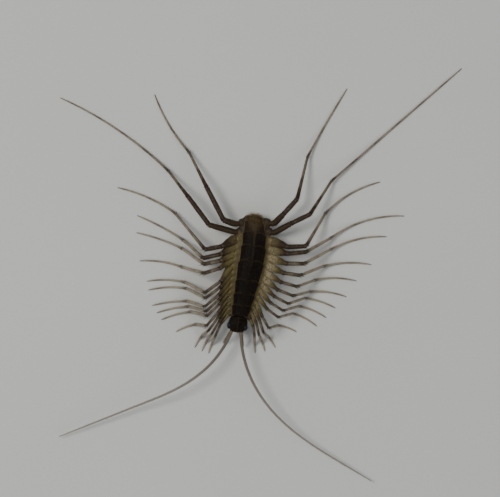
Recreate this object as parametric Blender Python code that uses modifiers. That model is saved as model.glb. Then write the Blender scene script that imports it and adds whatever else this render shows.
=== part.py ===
"""House centipede standing on a flat floor, life size, as separate closed solids.

Metres, +Z up. The head looks towards -Y, the floor is z = 0, and the whole
stance is centred on the origin. Left is -X and right is +X, seen from above.
"""

import math

import bmesh
import bpy
import numpy as np
from mathutils import Matrix, Vector

MM = 0.001
LEFT = -1
RIGHT = 1
SIDE_NAMES = {LEFT: "left", RIGHT: "right"}
LEG_PAIRS = 15

# Space left between two nodes that meet face to face, the distance at which a
# tube's caps are welded on, and the one under which two points are the same.
GAP = 0.3 * MM
WELD = 0.001 * MM
SAME_POINT = 0.00001 * MM

# The trunk's middle line seen from above, and half its width along it.
TRUNK_Z = 4.0 * MM
TRUNK_FRONT = -10.35 * MM
TRUNK_REAR = 13.9 * MM
TRUNK_FLATNESS = 0.52
AXIS_STATIONS = (-14, -7, 0, 4.5, 9, 14)
AXIS_X = (-0.45, 0.12, 0.62, 0.85, 0.6, -0.1)
WIDTH_STATIONS = (-10.4, -8, -4.5, 0, 3.5, 8, 11, 12.8, 14)
HALF_WIDTHS = (1.95, 2.2, 2.55, 2.95, 3.0, 2.8, 2.4, 1.9, 1.0)
TRUNK_RINGS = 15
TRUNK_BEVEL = 4

# A soft roll of skin along each flank, thickest behind the middle, in mm.
FLANK_STATIONS = (-9.6, -5, 0, 7.5, 9.8)
FLANK_RADII = (0.3, 0.55, 0.7, 0.7, 0.3)
FLANK_INSET = 0.2
FLANK_RINGS = 12

# Eight back plates overlap like shingles; each ends in a notch at its middle.
PLATE_EDGES = (-10.2, -8.1, -5.3, -2.0, 2.7, 6.25, 9.3, 11.9, 13.4)
PLATE_OVERLAP = 0.45 * MM
PLATE_ARC = math.radians(66)
PLATE_LIFT_FRONT = 0.06 * MM
PLATE_LIFT_REAR = 0.34 * MM
PLATE_THICKNESS = 0.5 * MM
PLATE_CORNER = 0.22
PLATE_NOTCH = 0.13
PLATE_NOTCH_WIDTH = 0.16
PLATE_LIFT_POWER = 1.5
PLATE_COLUMNS = 10
PLATE_ROWS = 4

# Hips stand out of the trunk's flanks in a row that opens out towards the rear. Each
# reaches out by its own length, and is turned, in degrees, + towards the tail.
HIP_Z = 3.5 * MM
FIRST_HIP = -9.85 * MM
THIRTEENTH_HIP = 8.1 * MM
FRONT_PITCH = 1.28 * MM
LAST_PITCH = 1.95 * MM
EVEN_HIPS = 13
HIP_LEGS = (1, 5, 9, 13, 15)
HIP_REACHES = (0.45 * MM, 0.85 * MM, 1.0 * MM, 1.0 * MM, 0.9 * MM)
HIP_TURNS = (-40, -36, -26, -10, -8)
HIP_RISE = 0.35
HIP_SUNK = 0.15 * MM
HIP_ROOT_DEPTH = 0.9 * MM
HIP_ROOT_RADIUS = 0.78 * MM
HIP_FACES = 8

# Stance of each leg, read at key legs and blended between them. Headings are
# degrees from straight out, + towards the tail, and lengths are millimetres.
KEY_LEGS = (1, 3, 4, 5, 7, 8, 9, 10, 11, 12, 13, 14, 15)
STANCE = {
    LEFT: {
        "knee_heading": (-65, -60, -58, -54, -54, -52, -52, -33, -28, -28, -26, 26, 38),
        "knee_reach": (6.2, 8.2, 8.6, 7.9, 9.0, 8.7, 9.1, 7.9, 7.9, 8.3, 8.0, 14.4, 11.5),
        "knee_rise": (0.4, 2.3, 2.8, 2.7, 2.7, 2.6, 2.6, 2.6, 2.5, 2.5, 2.4, 2.2, 2.0),
        "elbow": (-8, -2, 1, 2, 5, 7, 8, 8, 8, 7, 7, 22, 36),
        "thigh_share": (0.5, 0.5, 0.5, 0.5, 0.5, 0.5, 0.5, 0.5, 0.5, 0.5, 0.5, 0.5, 0.36),
        "shin_heading": (-76, -46, -3, 5, 8, 18, 18, 7, 27, 33, 42, 44, 55),
        "shin_length": (1.5, 1.9, 2.5, 4.0, 4.5, 5.1, 5.4, 5.4, 6.3, 6.4, 11.1, 7.8, 9.5),
        "foot_heading": (-74, -60, -20, -16, -10, 0, 4, 12, 18, 26, 28, 36, 40),
        "tip_heading": (-83, -74, -38, -32, -22, -22, -18, -12, 4, 14, 4, 16, 62),
        "foot_length": (2.9, 3.4, 5.0, 7.2, 8.2, 9.0, 9.0, 10.2, 11.5, 12.2, 15.0, 31.0, 16.0),
    },
    RIGHT: {
        "knee_heading": (-66, -60, -55, -36, -27, -22, -16, -9, -2, 4, 0, 32, 48),
        "knee_reach": (4.2, 6.0, 6.5, 6.5, 7.3, 7.7, 7.8, 7.8, 8.2, 8.3, 8.3, 10.2, 8.8),
        "knee_rise": (0.5, 2.3, 2.9, 2.9, 2.8, 2.8, 2.8, 2.8, 2.7, 2.6, 2.5, 2.3, 2.1),
        "elbow": (-10, -4, 2, 8, 8, 9, 9, 9, 10, 10, 11, 2, 10),
        "thigh_share": (0.5, 0.5, 0.5, 0.5, 0.5, 0.5, 0.5, 0.5, 0.5, 0.5, 0.5, 0.5, 0.45),
        "shin_heading": (-82, -37, 20, 20, 25, 21, 27, 29, 36, 37, 67, 65, 84),
        "shin_length": (1.5, 1.7, 2.3, 3.6, 4.2, 4.1, 4.5, 6.0, 7.2, 6.7, 9.1, 9.5, 10.4),
        "foot_heading": (-76, -44, 0, -8, 0, 12, 20, 22, 36, 44, 54, 49, 70),
        "tip_heading": (-80, -54, -22, -32, -20, -12, -6, -2, 6, 6, 22, 49, 66),
        "foot_length": (2.6, 3.0, 4.6, 6.4, 7.6, 8.8, 9.9, 11.3, 13.6, 18.5, 15.0, 40.6, 18.5),
    },
}
ANKLE_Z = 1.5 * MM
FOOT_Z = 0.2 * MM
FOOT_DESCENT = 0.45
FOOT_FALL_POWER = 1.5
FOOT_PIECES = 8
THIGH_RISE = 0.94
THIGH_LIFT = 0.15 * MM
HIP_LENGTH_LEGS = (1, 3, 13, 15)
HIP_LENGTHS = (0.5 * MM, 0.85 * MM, 0.85 * MM, 1.4 * MM)
BEND_REACH = 0.4 * MM
SOLE = 0.09 * MM

# Radii at hip, hip bend, thigh end, knee, ankle, foot and tip, full size legs.
LEG_RADII = (0.44, 0.48, 0.44, 0.4, 0.33, 0.27, 0.25, 0.12)
FOOT_TAPER_START = 0.88
SLIM_LEGS = (1, 7, 9, 11, 13, 15)
SLIM_FACTORS = (0.74, 0.79, 0.95, 1.2, 1.32, 1.45)
SLIMMEST = 0.26 * MM

# Two spines at the end of the thigh, at the knee and at the ankle.
SPINE_BASE = 0.21 * MM
SPINE_TIP = 0.03 * MM
SPINE_LENGTHS = (1.38 * MM, 1.22 * MM)
SPINE_APART = 0.13 * MM
SPINE_LEAN = math.radians(42)
SPINE_SPREAD = math.radians(20)
SPINE_FACES = 4
SPINE_LEGS = (1, 4, 8)
SPINE_FACTORS = (0.5, 0.8, 1.0)

# The head is a low dome, cut flat where it meets the trunk.
# Places are (sideways from the middle line, y, z) in mm.
HEAD_AT = (0.0, -12.05, 4.35)
HEAD_SIZE = (2.15 * MM, 2.0 * MM, 1.2 * MM)
HEAD_REAR = TRUNK_FRONT - GAP
HEAD_FACES = (20, 14)
LIP_AT = (0.0, -13.65, 3.85)
LIP_SIZE = (1.1 * MM, 0.6 * MM, 0.5 * MM)
JAW_AT = (0.7, -12.9, 3.6)
JAW_SIZE = (0.6 * MM, 0.9 * MM, 0.5 * MM)
EYE_AT = (1.85, -12.7, 4.45)
EYE_SIZE = (0.5 * MM, 0.8 * MM, 0.62 * MM)

# Antennae leave short sockets on the brow and curve out to either side.
SOCKET_AT = (0.95, -13.2, 4.7)
SOCKET_LENGTH = 0.75 * MM
SOCKET_RADIUS = 0.46 * MM
SOCKET_FACES = 10
ANTENNA_LENGTH = 49 * MM
ANTENNA_POINTS = 34
ANTENNA_START = {LEFT: math.radians(13), RIGHT: math.radians(9)}
ANTENNA_END = {LEFT: math.radians(60), RIGHT: math.radians(67)}
ANTENNA_TURN = {LEFT: 28 * MM, RIGHT: 41 * MM}
ANTENNA_ARCH = 1.4 * MM
ANTENNA_ARCH_SHARE = 0.6
ANTENNA_DROP = 3.3 * MM
ANTENNA_DROP_POWER = 1.8
ANTENNA_RADII = (0.42, 0.37, 0.27, 0.13)
ANTENNA_RADIUS_AT = (0.0, 0.06, 0.85, 1.0)

# Poison claws curve forward under the head from the trunk's front end, and the
# feeding palps reach forward from the jaws. Offsets from the middle line, mm.
# The first two points are the root on the trunk or head, and its end.
CLAW_PATH = ((1.05, -9.5, 3.35), (1.3, -10.45, 2.9), (1.62, -11.3, 2.6),
             (1.75, -12.2, 2.4), (1.35, -13.2, 2.3), (0.45, -13.7, 2.35))
CLAW_RADII = (0.42, 0.46, 0.46, 0.38, 0.27, 0.08)
PALP_PATH = ((0.95, -13.2, 3.75), (1.2, -13.8, 3.55), (1.5, -14.7, 3.4),
             (1.85, -15.8, 2.85), (2.2, -16.7, 2.0), (2.35, -17.3, 1.3))
PALP_RADII = (0.27, 0.27, 0.27, 0.26, 0.25, 0.1)
LIMB_STRAIGHT = 0.25 * MM
LIMB_BEVEL = 2

# Rear end: a blunt last segment and two short claspers below it.
TELSON_AT = (0.0, 13.6, 3.9)
TELSON_SIZE = (1.0 * MM, 0.75 * MM, 0.65 * MM)
CLASPER_PATH = ((0.3, 13.3, 3.7), (0.45, 14.6, 3.45))
CLASPER_RADIUS = 0.26 * MM
CLASPER_FACES = 6

ROUGHNESS = 0.45
CREASE_ANGLE = math.radians(35)
COLOURS = {
    "shell": (0.035, 0.027, 0.022, 1.0),
    "leg": (0.13, 0.11, 0.06, 1.0),
    "feeler": (0.10, 0.075, 0.05, 1.0),
    "eye": (0.008, 0.008, 0.01, 1.0),
}


# Numbers along the body

def smooth_value(stations, values, at):
    """Catmull-Rom curve through (station, value), read at one station."""
    last = len(stations) - 2
    k = min(max(int(np.searchsorted(stations, at)) - 1, 0), last)
    span = stations[k + 1] - stations[k]
    t = (at - stations[k]) / span

    def slope(j):
        a = max(j - 1, 0)
        b = min(j + 1, last + 1)
        return (values[b] - values[a]) / (stations[b] - stations[a])

    start = slope(k) * span
    end = slope(k + 1) * span
    return ((2 * t**3 - 3 * t**2 + 1) * values[k] + (t**3 - 2 * t**2 + t) * start
            + (3 * t**2 - 2 * t**3) * values[k + 1] + (t**3 - t**2) * end)


def axis_x(y):
    """Sideways place of the trunk's middle line at y."""
    return smooth_value(AXIS_STATIONS, AXIS_X, y / MM) * MM


def half_width(y):
    """Half the trunk's width at y."""
    return smooth_value(WIDTH_STATIONS, HALF_WIDTHS, y / MM) * MM


def outward(side, y):
    """Level unit vector that points out of the trunk's flank at y."""
    step = 0.05 * MM
    along = Vector((axis_x(y + step) - axis_x(y - step), 2 * step, 0)).normalized()
    return Vector((along.y, -along.x, 0)) * side


def beside_axis(side, offsets):
    """Point at (sideways, y, z) millimetres from the middle line, on one side."""
    across, y, z = offsets
    return Vector((axis_x(y * MM) + side * across * MM, y * MM, z * MM))


# Meshes

def new_material(name):
    """Plain material with the colour kept for it."""
    material = bpy.data.materials.new(name)
    material.use_nodes = True
    shader = material.node_tree.nodes["Principled BSDF"]
    shader.inputs["Base Color"].default_value = COLOURS[name]
    shader.inputs["Roughness"].default_value = ROUGHNESS
    shader.inputs["Metallic"].default_value = 0.0
    return material


def object_from_bmesh(name, bm, collection):
    """Turns a bmesh into a mesh object and frees it."""
    mesh = bpy.data.meshes.new(name)
    bm.to_mesh(mesh)
    bm.free()
    obj = bpy.data.objects.new(name, mesh)
    collection.objects.link(obj)
    return obj


def evaluated_mesh(obj):
    """Mesh of an object with its modifiers or bevel applied."""
    bpy.context.view_layer.update()
    depsgraph = bpy.context.evaluated_depsgraph_get()
    return bpy.data.meshes.new_from_object(obj.evaluated_get(depsgraph))


def tube(name, points, radii, collection, resolution=1, flatness=1.0):
    """Closed tube along points, made as a bevelled curve and welded shut."""
    curve = bpy.data.curves.new(name, "CURVE")
    curve.dimensions = "3D"
    curve.bevel_depth = MM
    curve.bevel_resolution = resolution
    curve.use_fill_caps = True
    spline = curve.splines.new("POLY")
    spline.points.add(len(points) - 1)
    for knot, point, radius in zip(spline.points, points, radii):
        knot.co = (*point, 1.0)
        knot.radius = radius / MM
    guide = bpy.data.objects.new(name, curve)
    collection.objects.link(guide)
    mesh = evaluated_mesh(guide)
    bpy.data.objects.remove(guide, do_unlink=True)
    bm = bmesh.new()
    bm.from_mesh(mesh)
    bmesh.ops.remove_doubles(bm, verts=bm.verts, dist=WELD)
    if flatness != 1.0:
        centre = Vector((0, 0, points[0][2]))
        bmesh.ops.scale(bm, vec=(1, 1, flatness), verts=bm.verts,
                        space=Matrix.Translation(-centre))
    bmesh.ops.recalc_face_normals(bm, faces=bm.faces)
    return object_from_bmesh(name, bm, collection)


def cone(name, start, end, start_radius, end_radius, faces, collection):
    """Closed cone or cylinder from start to end."""
    start = Vector(start)
    end = Vector(end)
    turn = (end - start).to_track_quat("Z", "Y").to_matrix().to_4x4()
    place = Matrix.Translation((start + end) / 2) @ turn
    bm = bmesh.new()
    bmesh.ops.create_cone(bm, cap_ends=True, segments=faces, radius1=start_radius,
                          radius2=end_radius, depth=(end - start).length, matrix=place)
    return object_from_bmesh(name, bm, collection)


def ball(name, centre, sizes, collection, segments=12, rings=8):
    """Closed ellipsoid with the given half sizes."""
    place = Matrix.Translation(centre) @ Matrix.Diagonal((*sizes, 1.0))
    bm = bmesh.new()
    bmesh.ops.create_uvsphere(bm, u_segments=segments, v_segments=rings, radius=1.0,
                              matrix=place)
    return object_from_bmesh(name, bm, collection)


def largest_shell(bm):
    """Deletes all but the largest closed surface of a mesh."""
    unseen = set(bm.faces)
    shells = []
    while unseen:
        front = [unseen.pop()]
        shell = list(front)
        while front:
            face = front.pop()
            for edge in face.edges:
                for other in edge.link_faces:
                    if other in unseen:
                        unseen.remove(other)
                        front.append(other)
                        shell.append(other)
        shells.append(shell)
    shells.sort(key=len)
    scraps = [face for shell in shells[:-1] for face in shell]
    bmesh.ops.delete(bm, geom=scraps, context="FACES")


def combine(base, others, operation):
    """One Boolean between base and a collection of closed meshes, applied."""
    group = bpy.data.collections.new(base.name + "_" + operation.lower())
    bpy.context.scene.collection.children.link(group)
    for other in others:
        for owner in list(other.users_collection):
            owner.objects.unlink(other)
        group.objects.link(other)
    modifier = base.modifiers.new("combine", "BOOLEAN")
    modifier.operation = operation
    modifier.operand_type = "COLLECTION"
    modifier.collection = group
    modifier.solver = "MANIFOLD"
    mesh = evaluated_mesh(base)
    base.modifiers.clear()
    base.data = mesh
    for other in others:
        bpy.data.objects.remove(other, do_unlink=True)
    bpy.data.collections.remove(group)
    bm = bmesh.new()
    bm.from_mesh(mesh)
    largest_shell(bm)
    bmesh.ops.remove_doubles(bm, verts=bm.verts, dist=SAME_POINT)
    bmesh.ops.dissolve_degenerate(bm, edges=bm.edges, dist=SAME_POINT)
    bm.to_mesh(mesh)
    bm.free()


def cut_flat(obj, point, keep):
    """Cuts a closed mesh by a plane through point and caps it; keep points to what stays."""
    bm = bmesh.new()
    bm.from_mesh(obj.data)
    everything = list(bm.verts) + list(bm.edges) + list(bm.faces)
    cut = bmesh.ops.bisect_plane(bm, geom=everything, dist=WELD, plane_co=point,
                                 plane_no=keep, clear_inner=True)
    rim = [item for item in cut["geom_cut"] if isinstance(item, bmesh.types.BMEdge)]
    bmesh.ops.triangle_fill(bm, edges=rim, use_beauty=True)
    bmesh.ops.recalc_face_normals(bm, faces=bm.faces)
    bm.to_mesh(obj.data)
    bm.free()


def finish_node(obj, name, origin, material, parent):
    """Names a node, puts its origin on its root and gives it its material."""
    obj.name = name
    obj.data.name = name
    obj.data.transform(Matrix.Translation(-Vector(origin)))
    obj.location = origin
    obj.parent = parent
    obj.data.materials.clear()
    obj.data.materials.append(material)
    obj.data.shade_smooth()
    obj.data.set_sharp_from_angle(angle=CREASE_ANGLE)


# Legs

def key_value(values, leg):
    """A stance value of one leg, blended between the key legs."""
    return float(np.interp(leg, KEY_LEGS, values))


def key_length(values, leg):
    """A blended stance length, in metres."""
    return key_value(values, leg) * MM


def key_angle(values, leg):
    """A blended stance angle, in radians."""
    return math.radians(key_value(values, leg))


def hip_y(leg):
    """Hips one to thirteen spread with a steadily growing pitch."""
    steps = min(leg, EVEN_HIPS) - 1
    all_steps = EVEN_HIPS - 1
    growth = (THIRTEENTH_HIP - FIRST_HIP - all_steps * FRONT_PITCH) / (all_steps**2 / 2)
    y = FIRST_HIP + FRONT_PITCH * steps + growth * steps**2 / 2
    return y + max(leg - EVEN_HIPS, 0) * LAST_PITCH


def hip(side, leg):
    """End of the hip stub on the trunk, and the way it points."""
    y = hip_y(leg)
    level = outward(side, y)
    turn = math.radians(side * float(np.interp(leg, HIP_LEGS, HIP_TURNS)))
    aim = Matrix.Rotation(turn, 3, "Z") @ level
    flank = Vector((axis_x(y), y, HIP_Z)) + level * (half_width(y) - HIP_SUNK)
    point = flank + aim * float(np.interp(leg, HIP_LEGS, HIP_REACHES))
    return point, (aim + Vector((0, 0, HIP_RISE))).normalized()


def stride(side, heading, reach, rise):
    """Step from one joint to the next: a level heading and reach, and a rise."""
    return Vector((side * math.cos(heading) * reach, math.sin(heading) * reach, rise))


def leg_joints(side, leg):
    """Joints of a leg: hip, hip bend, thigh end, knee, ankle, then the foot's."""
    stance = STANCE[side]
    stub, facing = hip(side, leg)
    root = stub + facing * GAP
    heading = key_angle(stance["knee_heading"], leg)
    reach = key_length(stance["knee_reach"], leg)
    rise = key_length(stance["knee_rise"], leg)
    elbow = key_angle(stance["elbow"], leg)
    knee = root + stride(side, heading, reach, rise)
    thigh = root + stride(side, heading - elbow, reach * key_value(stance["thigh_share"], leg),
                          rise * THIGH_RISE + THIGH_LIFT)
    bend = root + facing * float(np.interp(leg, HIP_LENGTH_LEGS, HIP_LENGTHS))
    ankle = knee + stride(side, key_angle(stance["shin_heading"], leg),
                          key_length(stance["shin_length"], leg), ANKLE_Z - knee.z)
    joints = [root, bend, thigh, knee, ankle]
    start = key_angle(stance["foot_heading"], leg)
    end = key_angle(stance["tip_heading"], leg)
    piece = key_length(stance["foot_length"], leg) / FOOT_PIECES
    for k in range(FOOT_PIECES):
        heading = start + (end - start) * (k + 0.5) / FOOT_PIECES
        fall = max(0.0, 1 - (k + 1) / FOOT_PIECES / FOOT_DESCENT) ** FOOT_FALL_POWER
        z = FOOT_Z + (ANKLE_Z - FOOT_Z) * fall
        joints.append(joints[-1] + stride(side, heading, piece, z - joints[-1].z))
    return joints


def leg_radii(leg):
    """Radius at each joint of a leg; the front legs are slimmer."""
    slim = float(np.interp(leg, SLIM_LEGS, SLIM_FACTORS))
    upper = [max(SLIMMEST, radius * MM * slim) for radius in LEG_RADII[:4]]
    shares = (np.arange(FOOT_PIECES) + 1) / FOOT_PIECES
    foot = np.interp(shares, (0.0, FOOT_TAPER_START, 1.0), LEG_RADII[5:]) * MM
    return upper + [LEG_RADII[4] * MM] + list(foot)


def rounded(joints, radii, corners):
    """Replaces each corner joint by points either side of it and one between."""
    points = []
    sizes = []
    for k, (joint, radius) in enumerate(zip(joints, radii)):
        if k not in corners:
            points.append(joint)
            sizes.append(radius)
            continue
        before = joint + (joints[k - 1] - joint).normalized() * BEND_REACH
        after = joint + (joints[k + 1] - joint).normalized() * BEND_REACH
        middle = joint * 0.5 + (before + after) * 0.25
        chosen = (before, middle, after) if corners[k] == 3 else (before, after)
        points.extend(chosen)
        sizes.extend([radius] * len(chosen))
    return points, sizes


def spines_at(name, joints, k, scale, collection):
    """Two unequal spines that lean forward along the leg and up from joint k."""
    along = (joints[k] - joints[k - 1]).normalized()
    up = (Vector((0, 0, 1)) - along * along.z).normalized()
    across = along.cross(up)
    for turn, length in zip((-SPINE_SPREAD, SPINE_SPREAD), SPINE_LENGTHS):
        rise = up * math.cos(turn) + across * math.sin(turn)
        aim = along * math.cos(SPINE_LEAN) + rise * math.sin(SPINE_LEAN)
        base = joints[k] + across * math.copysign(SPINE_APART * scale, turn)
        yield cone(name, base, base + aim * length * scale, SPINE_BASE * scale, SPINE_TIP,
                   SPINE_FACES, collection)


def flatten_sole(obj):
    """Presses the lowest edges of a foot down to one flat at the floor."""
    for vertex in obj.data.vertices:
        if vertex.co.z < SOLE:
            vertex.co.z = 0.0


def build_leg(side, leg, collection, material, parent):
    """One leg: a bevelled tube along its joints with the spines fused on."""
    name = f"leg_{SIDE_NAMES[side]}_{leg:02d}"
    joints = leg_joints(side, leg)
    radii = leg_radii(leg)
    points, sizes = rounded(joints, radii, {1: 2, 2: 2, 3: 3, 4: 2})
    obj = tube(name, points, sizes, collection)
    flatten_sole(obj)
    scale = float(np.interp(leg, SPINE_LEGS, SPINE_FACTORS))
    spines = []
    for k in (2, 3, 4):
        spines.extend(spines_at(name + "_spine", joints, k, scale, collection))
    combine(obj, spines, "UNION")
    finish_node(obj, name, joints[0], material, parent)


# Claws and palps

def limb_root(side, path, sizes, collection):
    """Stub with a flat end that a claw or palp grows from."""
    start, end = (beside_axis(side, spot) for spot in path[:2])
    return cone("limb_root", start, end, sizes[0] * MM, sizes[0] * MM, HIP_FACES, collection)


def curved_limb(side, path, sizes, collection):
    """Tapered limb that starts a gap away from its root, facing it squarely."""
    points = [beside_axis(side, spot) for spot in path]
    aim = (points[1] - points[0]).normalized()
    root = points[1] + aim * GAP
    route = [root, root + aim * LIMB_STRAIGHT] + points[2:]
    radii = [size * MM for size in sizes]
    return tube("limb", route, radii, collection, LIMB_BEVEL), root


# Trunk

def back_plate(front, rear, collection):
    """One shingle of the back: an arc of the trunk's oval, raised towards its rear."""
    bm = bmesh.new()
    bmesh.ops.create_grid(bm, x_segments=PLATE_COLUMNS, y_segments=PLATE_ROWS, size=1.0)
    for vertex in bm.verts:
        across = vertex.co.x
        share = (vertex.co.y + 1) / 2
        corner = PLATE_CORNER * abs(across) ** 4
        notch = PLATE_NOTCH * math.exp(-(across / PLATE_NOTCH_WIDTH) ** 2)
        y = front + (rear - front) * share * (1 - (corner + notch) * share**2)
        raised = share**PLATE_LIFT_POWER
        lift = PLATE_LIFT_FRONT + (PLATE_LIFT_REAR - PLATE_LIFT_FRONT) * raised
        angle = across * PLATE_ARC
        width = half_width(y)
        x = axis_x(y) + (width + lift) * math.sin(angle)
        z = TRUNK_Z + (width * TRUNK_FLATNESS + lift) * math.cos(angle)
        vertex.co = (x, y, z)
    obj = object_from_bmesh("back_plate", bm, collection)
    wall = obj.modifiers.new("wall", "SOLIDIFY")
    wall.thickness = PLATE_THICKNESS
    wall.offset = -1.0
    obj.data = evaluated_mesh(obj)
    obj.modifiers.clear()
    bm = bmesh.new()
    bm.from_mesh(obj.data)
    bmesh.ops.triangulate(bm, faces=bm.faces)
    bmesh.ops.recalc_face_normals(bm, faces=bm.faces)
    bm.to_mesh(obj.data)
    bm.free()
    return obj


def flank_roll(side, collection):
    """The roll of skin along one flank, under the plates' edges and between the hips."""
    rows = np.linspace(FLANK_STATIONS[0], FLANK_STATIONS[-1], FLANK_RINGS)
    points = [beside_axis(side, (half_width(y * MM) / MM - FLANK_INSET, y, HIP_Z / MM))
              for y in rows]
    radii = np.interp(rows, FLANK_STATIONS, FLANK_RADII) * MM
    return tube("flank", points, radii, collection)


def build_trunk(collection, material, parent):
    """Trunk with its back plates, flanks, hip stubs, claw roots, last segment and claspers."""
    shares = np.linspace(0.0, 1.0, TRUNK_RINGS)
    rows = TRUNK_FRONT + (TRUNK_REAR - TRUNK_FRONT) * shares
    points = [Vector((axis_x(y), y, TRUNK_Z)) for y in rows]
    points[0].x = points[1].x
    core = tube("trunk", points, [half_width(y) for y in rows], collection,
                TRUNK_BEVEL, TRUNK_FLATNESS)
    pieces = []
    for k, front in enumerate(PLATE_EDGES[:-1]):
        rear = PLATE_EDGES[k + 1] * MM + PLATE_OVERLAP
        pieces.append(back_plate(front * MM, min(rear, TRUNK_REAR), collection))
    pieces.append(ball("telson", beside_axis(RIGHT, TELSON_AT), TELSON_SIZE, collection))
    for side in SIDE_NAMES:
        pieces.append(flank_roll(side, collection))
        for leg in range(1, LEG_PAIRS + 1):
            stub, facing = hip(side, leg)
            depth = HIP_ROOT_DEPTH + float(np.interp(leg, HIP_LEGS, HIP_REACHES))
            pieces.append(cone("hip", stub - facing * depth, stub, HIP_ROOT_RADIUS,
                               leg_radii(leg)[0], HIP_FACES, collection))
        pieces.append(limb_root(side, CLAW_PATH, CLAW_RADII, collection))
        start, end = (beside_axis(side, spot) for spot in CLASPER_PATH)
        pieces.append(cone("clasper", start, end, CLASPER_RADIUS, CLASPER_RADIUS / 2,
                           CLASPER_FACES, collection))
    combine(core, pieces, "UNION")
    finish_node(core, "trunk", (axis_x(0), 0, TRUNK_Z), material, parent)


# Head and what grows from it

def antenna_aim(side, distance):
    """Level heading of an antenna at a distance along it."""
    turned = math.sin(math.pi / 2 * min(distance / ANTENNA_TURN[side], 1.0))
    angle = ANTENNA_START[side] + (ANTENNA_END[side] - ANTENNA_START[side]) * turned
    return Vector((side * math.sin(angle), -math.cos(angle), 0))


def antenna_points(side):
    """Middle line of an antenna: it arches up a little, then sinks to its tip."""
    root = beside_axis(side, SOCKET_AT)
    root += antenna_aim(side, 0) * (SOCKET_LENGTH + GAP)
    step = ANTENNA_LENGTH / ANTENNA_POINTS
    points = [root]
    for k in range(ANTENNA_POINTS):
        share = (k + 1) / ANTENNA_POINTS
        arch = ANTENNA_ARCH * math.sin(math.pi * min(share / ANTENNA_ARCH_SHARE, 1.0))
        point = points[-1] + antenna_aim(side, (k + 0.5) * step) * step
        point.z = root.z + arch - ANTENNA_DROP * share**ANTENNA_DROP_POWER
        points.append(point)
    return points


def build_head(collection, material, parent):
    """Head with lip, jaws, feeler sockets and palp roots, hollowed a little for the eyes."""
    centre = beside_axis(RIGHT, HEAD_AT)
    head = ball("head", centre, HEAD_SIZE, collection, *HEAD_FACES)
    pieces = [ball("lip", beside_axis(RIGHT, LIP_AT), LIP_SIZE, collection)]
    sockets = []
    for side in SIDE_NAMES:
        pieces.append(ball("jaw", beside_axis(side, JAW_AT), JAW_SIZE, collection))
        brow = beside_axis(side, SOCKET_AT)
        pieces.append(cone("socket", brow, brow + antenna_aim(side, 0) * SOCKET_LENGTH,
                           SOCKET_RADIUS, SOCKET_RADIUS, SOCKET_FACES, collection))
        pieces.append(limb_root(side, PALP_PATH, PALP_RADII, collection))
        sizes = [size + GAP for size in EYE_SIZE]
        sockets.append(ball("eye_socket", beside_axis(side, EYE_AT), sizes, collection))
    combine(head, pieces, "UNION")
    combine(head, sockets, "DIFFERENCE")
    cut_flat(head, (0, HEAD_REAR, 0), (0, -1, 0))
    finish_node(head, "head", (centre.x, HEAD_REAR, centre.z), material, parent)


def build_head_parts(side, collection, materials, parent):
    """Eye, feeler, poison claw and palp of one side."""
    label = SIDE_NAMES[side]
    centre = beside_axis(side, EYE_AT)
    eye = ball("eye", centre, EYE_SIZE, collection)
    finish_node(eye, "eye_" + label, centre, materials["eye"], parent)

    points = antenna_points(side)
    shares = np.linspace(0.0, 1.0, len(points))
    radii = np.interp(shares, ANTENNA_RADIUS_AT, ANTENNA_RADII) * MM
    antenna = tube("antenna", points, radii, collection)
    finish_node(antenna, "antenna_" + label, points[0], materials["feeler"], parent)

    for name, path, sizes in (("claw", CLAW_PATH, CLAW_RADII), ("palp", PALP_PATH, PALP_RADII)):
        limb, root = curved_limb(side, path, sizes, collection)
        finish_node(limb, f"{name}_{label}", root, materials["leg"], parent)


def stand_on_origin(stance, nodes):
    """Moves the whole stance so that its box is centred over the origin."""
    bpy.context.view_layer.update()
    corners = np.array([node.matrix_world @ vertex.co for node in nodes
                        for vertex in node.data.vertices])
    middle = (corners.min(axis=0) + corners.max(axis=0)) / 2
    stance.location = (-middle[0], -middle[1], 0)
    bpy.context.view_layer.update()


def main():
    """Builds every node and centres the stance over the origin."""
    for obj in list(bpy.data.objects):
        bpy.data.objects.remove(obj, do_unlink=True)
    parts = bpy.data.collections.new("house_centipede")
    bpy.context.scene.collection.children.link(parts)
    stance = bpy.data.objects.new("stance", None)
    parts.objects.link(stance)
    materials = {name: new_material(name) for name in COLOURS}

    build_trunk(parts, materials["shell"], stance)
    build_head(parts, materials["shell"], stance)
    for side in SIDE_NAMES:
        build_head_parts(side, parts, materials, stance)
        for leg in range(1, LEG_PAIRS + 1):
            build_leg(side, leg, parts, materials["leg"], stance)
    stand_on_origin(stance, [obj for obj in parts.objects if obj.type == "MESH"])


main()
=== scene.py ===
"""House centipede, life size: skin, plates, legs, feelers and bristles round its solids.

Shapes are worked out in millimetres in the animal's own frame, in which the head
looks towards -Y and left is -X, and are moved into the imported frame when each
mesh is made.
"""

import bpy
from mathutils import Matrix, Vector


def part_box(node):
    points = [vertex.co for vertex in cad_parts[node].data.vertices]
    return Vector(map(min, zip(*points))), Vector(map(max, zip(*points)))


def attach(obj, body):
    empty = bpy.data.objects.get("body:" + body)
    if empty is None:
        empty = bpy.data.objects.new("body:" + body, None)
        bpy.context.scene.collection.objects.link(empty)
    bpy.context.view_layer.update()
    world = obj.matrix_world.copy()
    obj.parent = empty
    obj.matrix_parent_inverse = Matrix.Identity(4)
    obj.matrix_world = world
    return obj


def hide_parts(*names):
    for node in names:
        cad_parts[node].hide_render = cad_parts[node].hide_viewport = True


bl_info = {
    "name": "House Centipede",
    "version": (1, 0, 0),
    "blender": (4, 5, 0),
    "location": "View3D > Sidebar > Centipede",
    "description": "Builds a life-size house centipede, piece by piece, round its solids",
    "category": "Add Mesh",
}

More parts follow.
